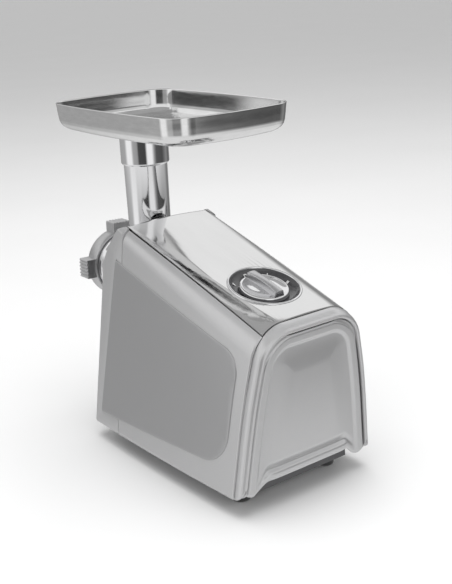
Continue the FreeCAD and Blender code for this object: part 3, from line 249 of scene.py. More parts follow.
# the sides bow outwards: the middle of the bow, its slant and its curve
BOW_MIDDLE, BOW_SLANT, BOW_CURVE = 4.0, 0.0026, 0.000138
# how far the sides tuck in below the top, for each millimetre behind its front edge
TUCK, TUCK_HEIGHT, TUCK_STEP = 0.03, 110.0, 4.0
# where the smooth skin starts, its overlap there, and where it ends behind and above
SKIN_START, SKIN_GAP, BAND_DEPTH, GAP_EDGE = -50.0, 0.3, 12.0, 52.4
SHELL_WALL = 2.4


def sheet_of(columns, rows, place):
    """A grid of faces, each corner put where place says for its share across and along."""
    form = bmesh.new()
    bmesh.ops.create_grid(form, x_segments=columns, y_segments=rows, size=0.5)
    for corner in form.verts:
        corner.co = Vector(place(corner.co.x + 0.5, corner.co.y + 0.5)) * MM
    return form


def rear_face(level):
    return REAR_FOOT + REAR_LEAN * (level - HOUSING_FOOT)


def top_level(y):
    return TOP_LEVEL - (y - TOP_FRONT) * math.tan(SLOPE)


def crown_radius(y):
    return CROWN_ROUND + CROWN_SOFTENING * (y - TOP_FRONT)


def side_at(y, level):
    """Half the housing's width at a place and a height; near the top the side leans in more."""
    along = y - BOW_MIDDLE
    bow = SIDE_HALF + BOW_SLANT * along - BOW_CURVE * along ** 2
    under = max(0.0, (level - top_level(y)) / TUCK_HEIGHT + 1)
    tuck = TUCK * max(0.0, y - TOP_FRONT) * under ** 2
    return bow - SIDE_LEAN * (level - HOUSING_FOOT) - tuck


def section_at(y, share, edge, inset=0.0, foot=HOUSING_FOOT):
    """A point on the housing's cross-section, from its foot up the side and over to an edge."""
    top, radius = top_level(y) - inset, max(crown_radius(y) - inset, LEAST_ROUND)
    centre_z = top - radius
    lean = math.atan((side_at(y, centre_z) - side_at(y, centre_z + TUCK_STEP)) / TUCK_STEP)
    turn_z = centre_z + radius * math.sin(lean)
    centre_x = side_at(y, turn_z) - inset - radius * math.cos(lean)
    if share < 0.5:
        level = foot + (turn_z - foot) * share * 2
        return side_at(y, level) - inset, level
    last = math.acos(max(0.0, min(1.0, (edge - centre_x) / radius)))
    angle = lean + (last - lean) * (share * 2 - 1)
    return centre_x + radius * math.cos(angle), centre_z + radius * math.sin(angle)


def skin_place(side):
    """Places the corners of one side's skin, from its start to the rear band."""
    def place(across, along):
        y = SKIN_START + (REAR_FOOT - BAND_DEPTH - SKIN_START) * across
        z = section_at(y, along, GAP_EDGE)[1]
        y += across * REAR_LEAN * (z - HOUSING_FOOT)
        x, z = section_at(y, along, GAP_EDGE)
        return side * x, y, z
    return place


def faced_outwards(form, way):
    """Turns a sheet's faces so that the one furthest along a direction points that way."""
    bmesh.ops.recalc_face_normals(form, faces=form.faces)
    way = Vector(way)
    if max(form.faces, key=lambda face: face.calc_center_median().dot(way)).normal.dot(way) < 0:
        bmesh.ops.reverse_faces(form, faces=form.faces)


def walled(piece, thickness):
    """Gives a sheet its wall, inwards from its outer face."""
    wall = piece.modifiers.new("wall", "SOLIDIFY")
    wall.thickness = thickness * MM
    wall.offset = -1


def trimmed(form, place, square_to, **options):
    """Slices a whole mesh along a plane."""
    everything = form.verts[:] + form.edges[:] + form.faces[:]
    bmesh.ops.bisect_plane(form, geom=everything, plane_co=place, plane_no=square_to, **options)


SIDES = ((1, "left"), (-1, "right"))
for side, name in SIDES:
    front = softened(name + "_shell", "side_shell_" + name, "housing", silver_paint, 0.7)
    form = bmesh.new()
    form.from_mesh(front.data)
    trimmed(form, (0, (SKIN_START + SKIN_GAP) * MM, 0), (0, 1, 0), clear_outer=True)
    bmesh.ops.edgenet_fill(form, edges=[edge for edge in form.edges if edge.is_boundary])
    bmesh.ops.recalc_face_normals(form, faces=form.faces)
    form.to_mesh(front.data)
    form.free()
    form = sheet_of(90, 120, skin_place(side))
    faced_outwards(form, (side, 0, 0))
    skin = shown(name + "_shell_skin", form, silver_paint)
    walled(skin, SHELL_WALL)
    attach(skin, "housing")

# ------------------------------------------------------------------ side panels
# A flat plate of darker satin plastic is clipped into each shell. A fine line runs round it.

panel_paint = finish("panel_paint", (0.40, 0.40, 0.405), 0.30, 0.55, grain=2200, shade=0.03,
                     uneven=0.03, relief=0.03)
# the panel's corners, along the machine and in height: front top, rear top, rear foot, front foot
PANEL_CORNERS = ((-62.0, 210.5), (148.0, 157.5), (139.0, 47.0), (-85.5, 35.0))
PANEL_ROUND = (3.0, 24.0, 40.0, 3.0)
ARC_STEPS, LONG_EDGE, EDGE_STEPS = 12, 20, 14
# the panel's edge from its foot in the shell to its face: growth of the outline, and proudness
PANEL_FACE = 1.0
PANEL_EDGE = ((0.3, -1.2), (0.0, 0.3), (-0.5, 0.8), (-1.5, PANEL_FACE))
PANEL_GRID = 6


def panel_outline(grow):
    """The panel's outline as a ring of points, its corners rounded."""
    ring = []
    count = len(PANEL_CORNERS)
    for number, corner in enumerate(PANEL_CORNERS):
        spot = Vector(corner)
        back = (Vector(PANEL_CORNERS[number - 1]) - spot).normalized()
        ahead = (Vector(PANEL_CORNERS[(number + 1) % count]) - spot).normalized()
        half = back.angle(ahead) / 2
        middle = (back + ahead).normalized()
        radius = PANEL_ROUND[number]
        centre = spot + middle * radius / math.sin(half)
        start = spot + back * radius / math.tan(half) - centre
        end = spot + ahead * radius / math.tan(half) - centre
        turn = start.angle_signed(end)
        for step in range(ARC_STEPS + 1):
            angle = -turn * step / ARC_STEPS
            way = Vector((start.x * math.cos(angle) - start.y * math.sin(angle),
                          start.x * math.sin(angle) + start.y * math.cos(angle)))
            ring.append(centre + way * (1 + grow / radius))
    full = []
    for number, spot in enumerate(ring):
        nxt = ring[(number + 1) % len(ring)]
        steps = EDGE_STEPS if (nxt - spot).length > LONG_EDGE else 1
        full += [spot.lerp(nxt, step / steps) for step in range(steps)]
    return full


def on_side(side, y, level, proud):
    """A point on one side of the housing, a little proud of it."""
    slant = math.atan(SIDE_LEAN)
    x = side_at(y, level) + proud * math.cos(slant)
    return Vector((side * x, y, level)) * MM


for side, name in SIDES:
    form = bmesh.new()
    rings = []
    for grow, proud in PANEL_EDGE:
        rings.append([form.verts.new(on_side(side, spot.x, spot.y, proud)) for spot in panel_outline(grow)])
    for outer, inner in zip(rings, rings[1:]):
        for step in range(len(outer)):
            nxt = (step + 1) % len(outer)
            form.faces.new((outer[step], outer[nxt], inner[nxt], inner[step]))
    middle = form.faces.new(rings[-1])
    inside = [middle, *middle.edges, *middle.verts]
    cuts = [((0, y, 0), (0, 1, 0)) for y in range(-84, 148, PANEL_GRID)]
    cuts += [((0, 0, level), (0, 0, 1)) for level in range(40, 212, PANEL_GRID)]
    for place, square_to in cuts:
        inside = bmesh.ops.bisect_plane(form, geom=inside, plane_co=Vector(place) * MM,
                                        plane_no=square_to)["geom"]
    for corner in {vert for item in inside if isinstance(item, bmesh.types.BMFace) for vert in item.verts}:
        corner.co = on_side(side, corner.co.y / MM, corner.co.z / MM, PANEL_FACE)
    bmesh.ops.recalc_face_normals(form, faces=form.faces)
    panel = shown(name + "_panel", form, panel_paint)
    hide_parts("side_panel_" + name)
    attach(panel, "housing")

# ------------------------------------------------------------------ top cover
# One sheet of polished stainless steel, folded down at its sides and front and cut away
# round the feed tube and the dial.

polished_steel = finish("polished_steel", (0.80, 0.80, 0.80), 0.075, 1.0, grain=60, stretch=(1, 0.03, 1),
                        shade=0.02, uneven=0.02)
cover = softened("steel_cover", "top_cover", "housing", polished_steel, 2.2, segments=5, shift=(0, 0, 1.4),
                 size=(0.98, 1, 1))
# the sheet is slightly domed across its width, and is sliced lengthways so that it can bend
DOME_DROP, DOME_HALF, DOME_SLICE = 1.7, 46.0, 5
form = bmesh.new()
form.from_mesh(cover.data)
for x in range(-55, 60, DOME_SLICE):
    trimmed(form, (x * MM, 0, 0), (1, 0, 0))
for corner in form.verts:
    share = min(1.0, abs(corner.co.x) / (DOME_HALF * MM))
    corner.co.z -= DOME_DROP * MM * share ** 2
form.to_mesh(cover.data)
form.free()

# ------------------------------------------------------------------ rear frame
# A bright moulded band frames the rear face and covers the shells' rear edges. Its crest
# stands a little proud, and a groove divides it from the cover inside it.

# where along the machine the rear outline is taken, and how far below the top it stays
REAR_PLACE, REAR_EASE = 172.0, 1.0
REAR_TOP, REAR_CORNER = top_level(REAR_PLACE) - REAR_EASE, crown_radius(REAR_PLACE)
# the ease fades out up the sides, between these heights
EASE_START, EASE_FADE = 120, 50
# the share of each half of the outline that is side and corner, and not the flat top
CORNER_SHARE = 0.85
CROWN_FALL, CROWN_DEEP, CREST_INSET = 0.268, 13.0, 6


def half_width(level, inset):
    return side_at(REAR_PLACE, level) - inset


def rear_outline(share, inset, foot=HOUSING_FOOT):
    """A point on the rear outline, from the left foot over the top to the right foot."""
    side = 1.0 if share < 0.5 else -1.0
    along = share * 2 if share < 0.5 else (1 - share) * 2
    if along < CORNER_SHARE:
        x, level = section_at(REAR_PLACE, along / CORNER_SHARE, 0.0, inset + REAR_EASE, foot)
        x += REAR_EASE if level < EASE_START else max(0.0, REAR_EASE - (level - EASE_START) / EASE_FADE)
        return side * x, level, min(1.0, max(0.0, (level - REAR_TOP + REAR_CORNER) / REAR_CORNER))
    x, level = section_at(REAR_PLACE, 1.0, 0.0, inset + REAR_EASE, foot)
    return side * x * (1 - (along - CORNER_SHARE) / (1 - CORNER_SHARE)), level, 1.0


# inset from the outline and distance behind the rear face, from the shells' edge inwards
BAND_PROFILE = ((1.6, -12.0), (0.15, -11.6), (0.0, -9.0), (0.05, -6.5), (0.5, -4.0), (1.3, -2.0), (2.5, -0.5),
                (3.9, 0.3), (5.2, 0.2), (6.0, -0.5), (6.4, -1.8), (6.5, -4.0), (6.5, -7.0))
FOOT_ROUND, BAND_WALL = 11.9, 1.2


def along_profile(profile, share):
    """The pair of values at a share of the way along a list of pairs."""
    step = share * (len(profile) - 1)
    low = min(int(step), len(profile) - 2)
    part = step - low
    return [first * (1 - part) + second * part for first, second in zip(profile[low], profile[low + 1])]


def band_place(across, along):
    inset, depth = along_profile(BAND_PROFILE, across)
    hidden = max(0.0, FOOT_ROUND + depth)
    foot = HOUSING_FOOT + FOOT_ROUND - math.sqrt(max(0.0, FOOT_ROUND ** 2 - hidden ** 2))
    x, z, uprightness = rear_outline(along, inset, foot)
    z += uprightness * CROWN_FALL * min(CROWN_DEEP, max(0.0, -depth)) * max(0.0, 1 - inset / CREST_INSET)
    return x, rear_face(z) + depth, z


form = sheet_of(72, 200, band_place)
faced_outwards(form, (0, 1, 0))
rear_band = shown("rear_band", form, silver_paint)
walled(rear_band, BAND_WALL)
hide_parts("rear_frame")
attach(rear_band, "housing")

# ------------------------------------------------------------------ rear cover
# A moulded cover in the same satin silver closes the back. A flat rim runs round a large
# soft-edged panel, and an arch at the foot leaves room for the hand and the lead.

COVER_INSET, RIM_WIDE, ARCH_HALF, ARCH_TOP, ARCH_EASE = 7.7, 10.0, 50.0, 31.0, 16
PILLOW, CORNER_LIFT, CORNER_START, CORNER_END = 4.2, 5.0, 68, 84
# the rim's place and rounding, the step down to the panel, and the lip over the arch
RIM_DEPTH, RIM_ROUND, PANEL_STEP, EDGE_ROLL = 2.6, 1.6, 2.0, 2.5
LIP_PROUD, LIP_CREASE, LIP_ROLL = 3.2, 1.6, 1.6


def smooth(low, high, value):
    part = min(1.0, max(0.0, (value - low) / (high - low)))
    return part * part * (3 - 2 * part)


def arch_level(x):
    raised = (ARCH_TOP - HOUSING_FOOT) * (1 - smooth(ARCH_HALF, ARCH_HALF + ARCH_EASE, abs(x)))
    return HOUSING_FOOT + 0.5 + raised + CORNER_LIFT * smooth(CORNER_START, CORNER_END, abs(x))


def edge_distance(x, level):
    """How far a spot on the rear face stands inside the cover's own edge."""
    top = REAR_TOP - COVER_INSET
    radius = REAR_CORNER - COVER_INSET
    side_gap = half_width(level, COVER_INSET) - abs(x)
    across = max(0.0, radius - side_gap)
    upward = max(0.0, radius - (top - level))
    if across > 0 and upward > 0:
        return radius - math.hypot(across, upward)
    return min(side_gap, top - level)


def cover_depth(x, z, top, lip):
    """How far the cover stands out from the rear face at a spot."""
    gap = edge_distance(x, z)
    depth = RIM_ROUND * smooth(0.0, EDGE_ROLL, gap) - RIM_DEPTH
    depth -= PANEL_STEP * smooth(RIM_WIDE - 1.5, RIM_WIDE + 2.5, gap)
    middle = (HOUSING_FOOT + top) / 2
    rise = (z - middle) / (top - middle)
    bulge = (1 - rise ** 2) * (1 - 0.4 * (x / half_width(z, COVER_INSET)) ** 2)
    depth += PILLOW * smooth(RIM_WIDE - 2.0, RIM_WIDE + 30.0, gap) * bulge
    near_arch = 1 - smooth(ARCH_HALF - 6, ARCH_HALF + 14, abs(x))
    crease = smooth(9.0, 12.0, lip) - smooth(12.0, 20.0, lip)
    depth += near_arch * (LIP_PROUD * (1 - smooth(7.0, 11.0, lip)) - LIP_CREASE * crease)
    return depth - LIP_ROLL * (1 - smooth(0.0, EDGE_ROLL, lip))


def cover_place(across, along):
    """Places the cover's corners: from the arch up to the rounded crest."""
    top = REAR_TOP - COVER_INSET
    radius = REAR_CORNER - COVER_INSET
    share = 2 * across - 1
    reach = half_width(top - radius, COVER_INSET)
    over = max(0.0, abs(share * reach) - (reach - radius))
    crest = top - radius + math.sqrt(max(0.0, radius * radius - over * over))
    foot = arch_level(share * half_width(HOUSING_FOOT, COVER_INSET))
    z = foot + (crest - foot) * along
    x = share * (half_width(z, COVER_INSET) if z < top - radius else reach)
    return x, rear_face(z) + cover_depth(x, z, top, z - foot), z


form = sheet_of(150, 150, cover_place)
faced_outwards(form, (0, 1, 0))
rear_shell = shown("rear_shell", form, silver_paint)
walled(rear_shell, SHELL_WALL)
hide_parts("rear_cover")
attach(rear_shell, "housing")

# ------------------------------------------------------------------ base and feet
# The base is a dark grey moulded tray with slots for the motor's cooling air. Four black
# rubber feet are screwed to its underside.

base_plastic = finish("base_plastic", (0.10, 0.10, 0.104), 0.5, grain=500, shade=0.1, relief=0.15)
softened("base_tray", "base_plate", "housing", base_plastic, 0.6)

rubber = finish("foot_rubber", (0.018, 0.018, 0.018), 0.55, grain=700, shade=0.2, relief=0.1)
form = bmesh.new()
# distance from a foot's axis, and height
FOOT_SECTION = ((2.4, 5.0), (5.8, 5.0), (6.0, 0.3), (6.4, 0.0), (8.3, 0.0), (9.2, 0.8),
                (9.7, 2.2), (9.7, 8.6), (10.0, 9.6), (10.5, 11.4), (10.4, 11.9), (2.4, 11.9))
for x, y in ((55.5, 125.5), (-55.5, 125.5), (38.0, -62.0), (-38.0, -62.0)):
    corners = [form.verts.new(Vector((x + r, y, z)) * MM) for r, z in FOOT_SECTION]
    edges = [form.edges.new(pair) for pair in zip(corners, corners[1:] + corners[:1])]
    bmesh.ops.spin(form, geom=corners + edges, cent=Vector((x, y, 0)) * MM, axis=(0, 0, 1), dvec=(0, 0, 0),
                   angle=math.tau, steps=48, use_merge=True, use_duplicate=False)
bmesh.ops.recalc_face_normals(form, faces=form.faces)
feet = shown("foot_pads", form, rubber)
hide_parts("rubber_feet")
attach(feet, "housing")

# ------------------------------------------------------------------ grinding head
# The barrel and the feed tube are one casting, turned and polished until they mirror the room.

head_polish = finish("head_polish", (0.84, 0.84, 0.85), 0.07, 1.0, grain=40, stretch=(1, 1, 0.05),
                     shade=0.02, uneven=0.02)
TUBE_Y, AXIS_Z = -90.0, 175.6
head = softened("head_casting", "grinder_head", "head", head_polish, 0.5, segments=2)
# the casting's upper part is turned: the tube, the collar, the mouth and the bore
TUBE_CUT = 214.0
form = bmesh.new()
form.from_mesh(head.data)
trimmed(form, (0, 0, TUBE_CUT * MM), (0, 0, 1), clear_outer=True)
bmesh.ops.bridge_loops(form, edges=[edge for edge in form.edges if edge.is_boundary])
bmesh.ops.recalc_face_normals(form, faces=form.faces)
form.to_mesh(head.data)
form.free()


def soft_edged(piece, width, segments=2, angle=35):
    """Rounds a piece's sharper edges by a small radius."""
    soft = piece.modifiers.new("soft_edges", "BEVEL")
    soft.width = width * MM
    soft.segments = segments
    soft.limit_method = "ANGLE"
    soft.angle_limit = math.radians(angle)
    soft.harden_normals = True


# distance from the tube's axis, and height
TUBE_SECTION = ((20.0, 213.0), (23.04, 213.0), (23.8, 300.6), (24.2, 301.4), (25.7, 302.0), (26.2, 302.8),
                (26.3, 304.0), (26.3, 338.6), (26.0, 339.6), (25.2, 340.0), (22.6, 340.0), (22.1, 339.4),
                (22.05, 320.5), (20.4, 320.4), (20.0, 320.0))
form = bmesh.new()
corners = [form.verts.new(Vector((r, TUBE_Y, z)) * MM) for r, z in TUBE_SECTION]
edges = [form.edges.new(pair) for pair in zip(corners, corners[1:] + corners[:1])]
bmesh.ops.spin(form, geom=corners + edges, cent=Vector((0, TUBE_Y, 0)) * MM, axis=(0, 0, 1), dvec=(0, 0, 0),
               angle=math.tau, steps=128, use_merge=True, use_duplicate=False)
bmesh.ops.recalc_face_normals(form, faces=form.faces)
tube = shown("feed_tube", form, head_polish)
soft_edged(tube, 0.35, angle=40)
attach(tube, "head")

# ------------------------------------------------------------------ fixing ring
# A cast aluminium ring screws onto the barrel and holds the plate. Its four lugs are ribbed
# for grip.

ring_casting = finish("ring_casting", (0.58, 0.58, 0.585), 0.36, 1.0, grain=420, shade=0.08,
                      uneven=0.08, relief=0.35)
form = bmesh.new()
# distance from the axis, and place along the machine
RING_SECTION = ((30.2, -170.6), (30.8, -171.2), (36.6, -171.2), (38.2, -170.4), (38.8, -168.8),
                (38.8, -154.0), (38.3, -152.4), (37.0, -151.75), (36.2, -151.75), (35.7, -152.4),
                (35.7, -167.4), (35.2, -168.0), (30.8, -168.0), (30.2, -168.5))
# a lug's outline: its root, half its width, its shoulder, and its grip ribs
LUG_ROOT, LUG_HALF, LUG_SHOULDER, LUG_PROUD, LUG_LONG = 36.9, 11.0, 48.0, 49.2, 17.4
LUG_FACE, LUG_COUNT, LUG_TURN, RIB_COUNT, RIB_STEP = -170.2, 4, 2, 5, 4.0
corners = [form.verts.new(Vector((r, y, AXIS_Z)) * MM) for r, y in RING_SECTION]
edges = [form.edges.new(pair) for pair in zip(corners, corners[1:] + corners[:1])]
bmesh.ops.spin(form, geom=corners + edges, cent=Vector((0, 0, AXIS_Z)) * MM, axis=(0, 1, 0), dvec=(0, 0, 0),
               angle=math.tau, steps=128, use_merge=True, use_duplicate=False)
for number in range(LUG_COUNT):
    outline = [(LUG_ROOT, -LUG_HALF), (LUG_SHOULDER, -LUG_HALF), (LUG_PROUD, 0.8 - LUG_HALF)]
    for rib in range(RIB_COUNT):
        middle = RIB_STEP * rib - 8.0
        outline += [(49.5, middle - 1.35), (48.7, middle - 0.95), (48.3, middle),
                    (48.7, middle + 0.95), (49.5, middle + 1.35)]
    outline += [(LUG_PROUD, LUG_HALF - 0.8), (LUG_SHOULDER, LUG_HALF), (LUG_ROOT, LUG_HALF)]
    corners = [form.verts.new(Vector((r, LUG_FACE, AXIS_Z + side)) * MM) for r, side in outline]
    face = form.faces.new(corners)
    pushed = bmesh.ops.extrude_face_region(form, geom=[face])["geom"]
    lug = [item for item in pushed if isinstance(item, bmesh.types.BMVert)]
    bmesh.ops.translate(form, vec=Vector((0, LUG_LONG, 0)) * MM, verts=lug)
    bmesh.ops.rotate(form, cent=Vector((0, 0, AXIS_Z)) * MM, verts=corners + lug,
                     matrix=Matrix.Rotation(-math.radians(LUG_TURN + 360 / LUG_COUNT * number), 3, "Y"))
bmesh.ops.recalc_face_normals(form, faces=form.faces)
ring = shown("screw_ring", form, ring_casting)
soft_edged(ring, 0.5, angle=50)
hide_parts("fixing_ring")
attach(ring, "ring")

# ------------------------------------------------------------------ hopper tray
# A deep-drawn tray of polished metal with a rolled rim. Its sides bow outwards between
# round corners, and its spigot stands in the feed tube's collar.

TRAY_HALF_X, TRAY_HALF_Y, TRAY_MIDDLE, TRAY_BULGE, TRAY_CORNER = 75.0, 117.6, -41.0, 4.0, 24.0
CORNER_SHRINK, LEAST_CORNER = 0.3, 6.0
# in a quarter of the way round: where the long side ends, and where the corner ends
SIDE_ENDS, CORNER_ENDS = 0.35, 0.75


def tray_outline(share, inset):
    """A point on the tray's outline at an inset, for a share of the way round."""
    half_x, half_y = TRAY_HALF_X - inset, TRAY_HALF_Y - inset
    radius = max(TRAY_CORNER - inset * CORNER_SHRINK, LEAST_CORNER)
    quarter, part = int(share * 4) % 4, (share * 4) % 1.0
    flip_x = 1 if quarter in (0, 3) else -1
    flip_y = 1 if quarter in (0, 1) else -1
    along = part if quarter in (0, 2) else 1 - part
    if along < SIDE_ENDS:
        reach = (half_y - radius) * along / SIDE_ENDS
        x, y = half_x + TRAY_BULGE * (1 - (reach / (half_y - radius)) ** 2), reach
    elif along < CORNER_ENDS:
        angle = (along - SIDE_ENDS) / (CORNER_ENDS - SIDE_ENDS) * math.pi / 2
        x, y = half_x - radius + radius * math.cos(angle), half_y - radius + radius * math.sin(angle)
    else:
        reach = (half_x - radius) * (1 - along) / (1 - CORNER_ENDS)
        x, y = reach, half_y + TRAY_BULGE * (1 - (reach / (half_x - radius)) ** 2)
    return flip_x * x, TRAY_MIDDLE + flip_y * y


# inset and height down the wall, the rounded foot and the flat floor
TRAY_SECTION = ((0.0, 369.9), (0.5, 365.0), (1.0, 359.0), (1.7, 352.5), (2.7, 349.0), (4.4, 346.2),
                (7.0, 343.9), (10.5, 342.1), (15.0, 340.9), (20.0, 340.3), (26.0, 340.1))
# radius and height down the spigot
THROAT = ((23.0, 340.1), (22.2, 339.2), (21.9, 337.5), (21.9, 320.5))
WALL_ROWS, FLOOR_ROWS, THROAT_ROWS = len(TRAY_SECTION) - 1, 3, len(THROAT) - 1
TRAY_ROWS = WALL_ROWS + FLOOR_ROWS + THROAT_ROWS
TRAY_WALL = 1.0


def tray_place(across, along):
    """Places the tray's corners: down the wall, in over the floor, and down the spigot."""
    step = along * TRAY_ROWS
    if step <= WALL_ROWS:
        inset, level = along_profile(TRAY_SECTION, step / WALL_ROWS)
        return (*tray_outline(across % 1.0, inset), level)
    x, y = tray_outline(across % 1.0, TRAY_SECTION[-1][0])
    angle = math.atan2(y - TUBE_Y, x)
    step -= WALL_ROWS
    if step <= FLOOR_ROWS:
        part = step / FLOOR_ROWS
        radius, level = THROAT[0]
        hole_x, hole_y = radius * math.cos(angle), TUBE_Y + radius * math.sin(angle)
        return x * (1 - part) + hole_x * part, y * (1 - part) + hole_y * part, level
    radius, level = along_profile(THROAT, (step - FLOOR_ROWS) / THROAT_ROWS)
    return radius * math.cos(angle), TUBE_Y + radius * math.sin(angle), level


tray_metal = finish("tray_metal", (0.80, 0.80, 0.80), 0.11, 1.0, grain=260, stretch=(0.25, 0.25, 1.0),
                    shade=0.05, uneven=0.04)
form = sheet_of(320, TRAY_ROWS * 4, tray_place)
bmesh.ops.remove_doubles(form, verts=form.verts, dist=0.00001)
bmesh.ops.recalc_face_normals(form, faces=form.faces)
tray = shown("tray_dish", form, tray_metal)
walled(tray, TRAY_WALL)
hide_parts("hopper_tray")
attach(tray, "tray")

# ------------------------------------------------------------------ dial
# The dial's ring is dark gloss plastic with white marks, held by a thin bright bezel. A
# chromed knob with a grip bar turns in it.

# the dial's centre on the sloping top; a dial's own vertical stands square to the slope
DIAL_Y = 106.8
DIAL_FRAME = (Matrix.Translation(Vector((0, DIAL_Y, top_level(DIAL_Y))) * MM)
              @ Matrix.Rotation(-SLOPE, 4, "X"))


def turned(section, steps=96):
    """A ring or disc: a section of radius and height, spun about the vertical."""
    form = bmesh.new()
    corners = [form.verts.new(Vector((r, 0, z)) * MM) for r, z in section]
    edges = [form.edges.new(pair) for pair in zip(corners, corners[1:])]
    bmesh.ops.spin(form, geom=corners + edges, cent=(0, 0, 0), axis=(0, 0, 1), dvec=(0, 0, 0),
                   angle=math.tau, steps=steps, use_merge=True, use_duplicate=False)
    bmesh.ops.remove_doubles(form, verts=form.verts, dist=0.000005)
    bmesh.ops.recalc_face_normals(form, faces=form.faces)
    return form


def on_dial(form, name, material, body, *nodes):
    """Makes a piece from a form, set square on the sloping top at the dial's centre."""
    bmesh.ops.transform(form, matrix=DIAL_FRAME, verts=form.verts)
    piece = shown(name, form, material)
    if nodes:
        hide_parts(*nodes)
    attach(piece, body)
    return piece


dial_plastic = finish("dial_plastic", (0.045, 0.045, 0.048), 0.16, coat=0.5, grain=300, shade=0.1)
dial_white = finish("dial_white", (0.85, 0.85, 0.85), 0.4, grain=500, shade=0.03)
chrome = finish("knob_chrome", (0.86, 0.86, 0.87), 0.06, 1.0, grain=200, shade=0.01, uneven=0.02)
satin_chrome = finish("knob_satin", (0.62, 0.62, 0.63), 0.24, 1.0, grain=300, stretch=(1, 0.04, 1),
                      shade=0.03, uneven=0.02)

DIAL_SECTION = ((7.2, -6.4), (35.4, -6.4), (35.4, 0.9), (34.6, 1.0), (33.8, 0.2), (31.6, -3.0),
                (27.5, -4.6), (7.2, -5.0), (7.2, -6.4))
BEZEL_SECTION = ((34.7, 0.6), (34.9, 1.8), (35.6, 2.2), (36.6, 2.0), (37.2, 1.2), (37.2, 0.2),
                 (34.7, 0.2), (34.7, 0.6))
piece = on_dial(turned(DIAL_SECTION), "dial_ring", dial_plastic, "housing", "dial_recess")
soft_edged(piece, 0.3)
on_dial(turned(BEZEL_SECTION), "dial_bezel", chrome, "housing")

# the marks stand on the ring's sloping face: its radius, height, lean and rise
MARK_RADIUS, MARK_LEVEL, MARK_LEAN, MARK_RISE = 29.4, -3.25, -30, 0.55
MARK_GROWTH, MARK_HALF_DEEP = 1.25, 0.2


def mark(name, angle, strokes):
    """White strokes on the dial's ring: each is place and half-size, outwards and across."""
    form = bmesh.new()
    for out, side, half_out, half_side in strokes:
        box = bmesh.ops.create_cube(form, size=2.0)["verts"]
        size = Vector((half_side * MARK_GROWTH, half_out * MARK_GROWTH, MARK_HALF_DEEP))
        bmesh.ops.scale(form, vec=size * MM, verts=box)
        lean = Matrix.Rotation(math.radians(MARK_LEAN), 3, "X")
        bmesh.ops.rotate(form, cent=(0, 0, 0), matrix=lean, verts=box)
        level = MARK_LEVEL + (out - MARK_RADIUS) * MARK_RISE
        bmesh.ops.translate(form, vec=Vector((side, -out, level)) * MM, verts=box)
    turn = Matrix.Rotation(math.radians(angle), 3, "Z")
    bmesh.ops.rotate(form, cent=(0, 0, 0), matrix=turn, verts=form.verts)
    on_dial(form, name, dial_white, "housing")


mark("mark_off", 0, ((30.9, 0, 0.35, 1.2), (27.9, 0, 0.35, 1.2),
                     (29.4, 1.25, 1.5, 0.35), (29.4, -1.25, 1.5, 0.35)))
mark("mark_reverse", 45, ((29.4, 0, 1.7, 0.32), (30.6, 0.7, 0.32, 0.8),
                          (29.3, 0.7, 0.32, 0.8), (28.2, 0.9, 0.5, 0.32)))
mark("mark_slow", -45, ((29.4, 0, 1.9, 0.32),))
mark("mark_fast", -90, ((29.4, -0.8, 1.9, 0.32), (29.4, 0.8, 1.9, 0.32)))

SKIRT_SECTION = ((4.3, -4.5), (24.6, -4.5), (25.0, -4.0), (25.0, -1.2), (24.2, 0.0), (23.0, 0.6),
                 (21.8, 0.4), (21.0, -0.2), (12.0, 0.4), (0.0, 0.7))
on_dial(turned(SKIRT_SECTION), "knob_skirt", chrome, "dial", "dial_knob")
# the grip bar is waisted: narrow in the middle, and lower towards its ends
form = bmesh.new()
bmesh.ops.create_grid(form, x_segments=8, y_segments=24, size=1.0)
pushed = bmesh.ops.extrude_face_region(form, geom=form.faces[:])["geom"]
top = {item for item in pushed if isinstance(item, bmesh.types.BMVert)}
for corner in form.verts:
    side, along, raised = corner.co.x, corner.co.y, corner in top
    half = (3.9 if raised else 5.4) + 0.9 * along ** 2
    reach = 22.0 if raised else 23.2
    level = (7.6 - 1.2 * along ** 2 - 0.5 * side ** 2) if raised else -0.4
    corner.co = Vector((side * half, along * reach, level)) * MM
bmesh.ops.recalc_face_normals(form, faces=form.faces)
piece = on_dial(form, "knob_grip", satin_chrome, "dial")
soft_edged(piece, 0.7, segments=4, angle=38)

# ------------------------------------------------------------------ cutting parts
# The perforated plate, the four-armed knife and the feed screw are cast and ground steel.
# The knife sits on the screw's square, and the ring presses the plate against it.


def dressed(material, *nodes):
    """Keeps CAD nodes as they are and gives them a material."""
    for node in nodes:
        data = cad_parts[node].data
        data.materials.clear()
        data.materials.append(material)


ground_steel = finish("ground_steel", (0.62, 0.62, 0.63), 0.24, 1.0, grain=500, stretch=(1, 0.1, 1),
                      shade=0.06,
                      uneven=0.06)
cast_steel = finish("cast_steel", (0.50, 0.50, 0.51), 0.42, 1.0, grain=350, shade=0.1,
                    uneven=0.08, relief=0.2)
dressed(ground_steel, "grinding_plate", "knife")
dressed(cast_steel, "feed_screw")

# ------------------------------------------------------------------ drive socket and lock
# A black moulded socket takes the head's rear end, and a bronze bush carries the screw. The
# lock button is grey plastic on a sprung bracket, and pins the head in its socket.

socket_plastic = finish("socket_plastic", (0.03, 0.03, 0.032), 0.42, grain=450, shade=0.15, relief=0.12)
button_plastic = finish("button_plastic", (0.16, 0.16, 0.165), 0.33, grain=900, shade=0.05,
                        relief=0.05, coat=0.2)
spring_wire = finish("spring_wire", (0.55, 0.55, 0.56), 0.22, 1.0, grain=700, shade=0.04)
bronze = finish("bush_bronze", (0.52, 0.34, 0.16), 0.32, 1.0, grain=400, shade=0.08)
zinc_sheet = finish("zinc_sheet", (0.55, 0.56, 0.57), 0.38, 1.0, grain=90, shade=0.1, uneven=0.1)
dressed(socket_plastic, "head_socket")
dressed(button_plastic, "lock_button")
dressed(spring_wire, "lock_spring")
dressed(zinc_sheet, "lock_bracket")
dressed(bronze, "head_bush", "output_bush")

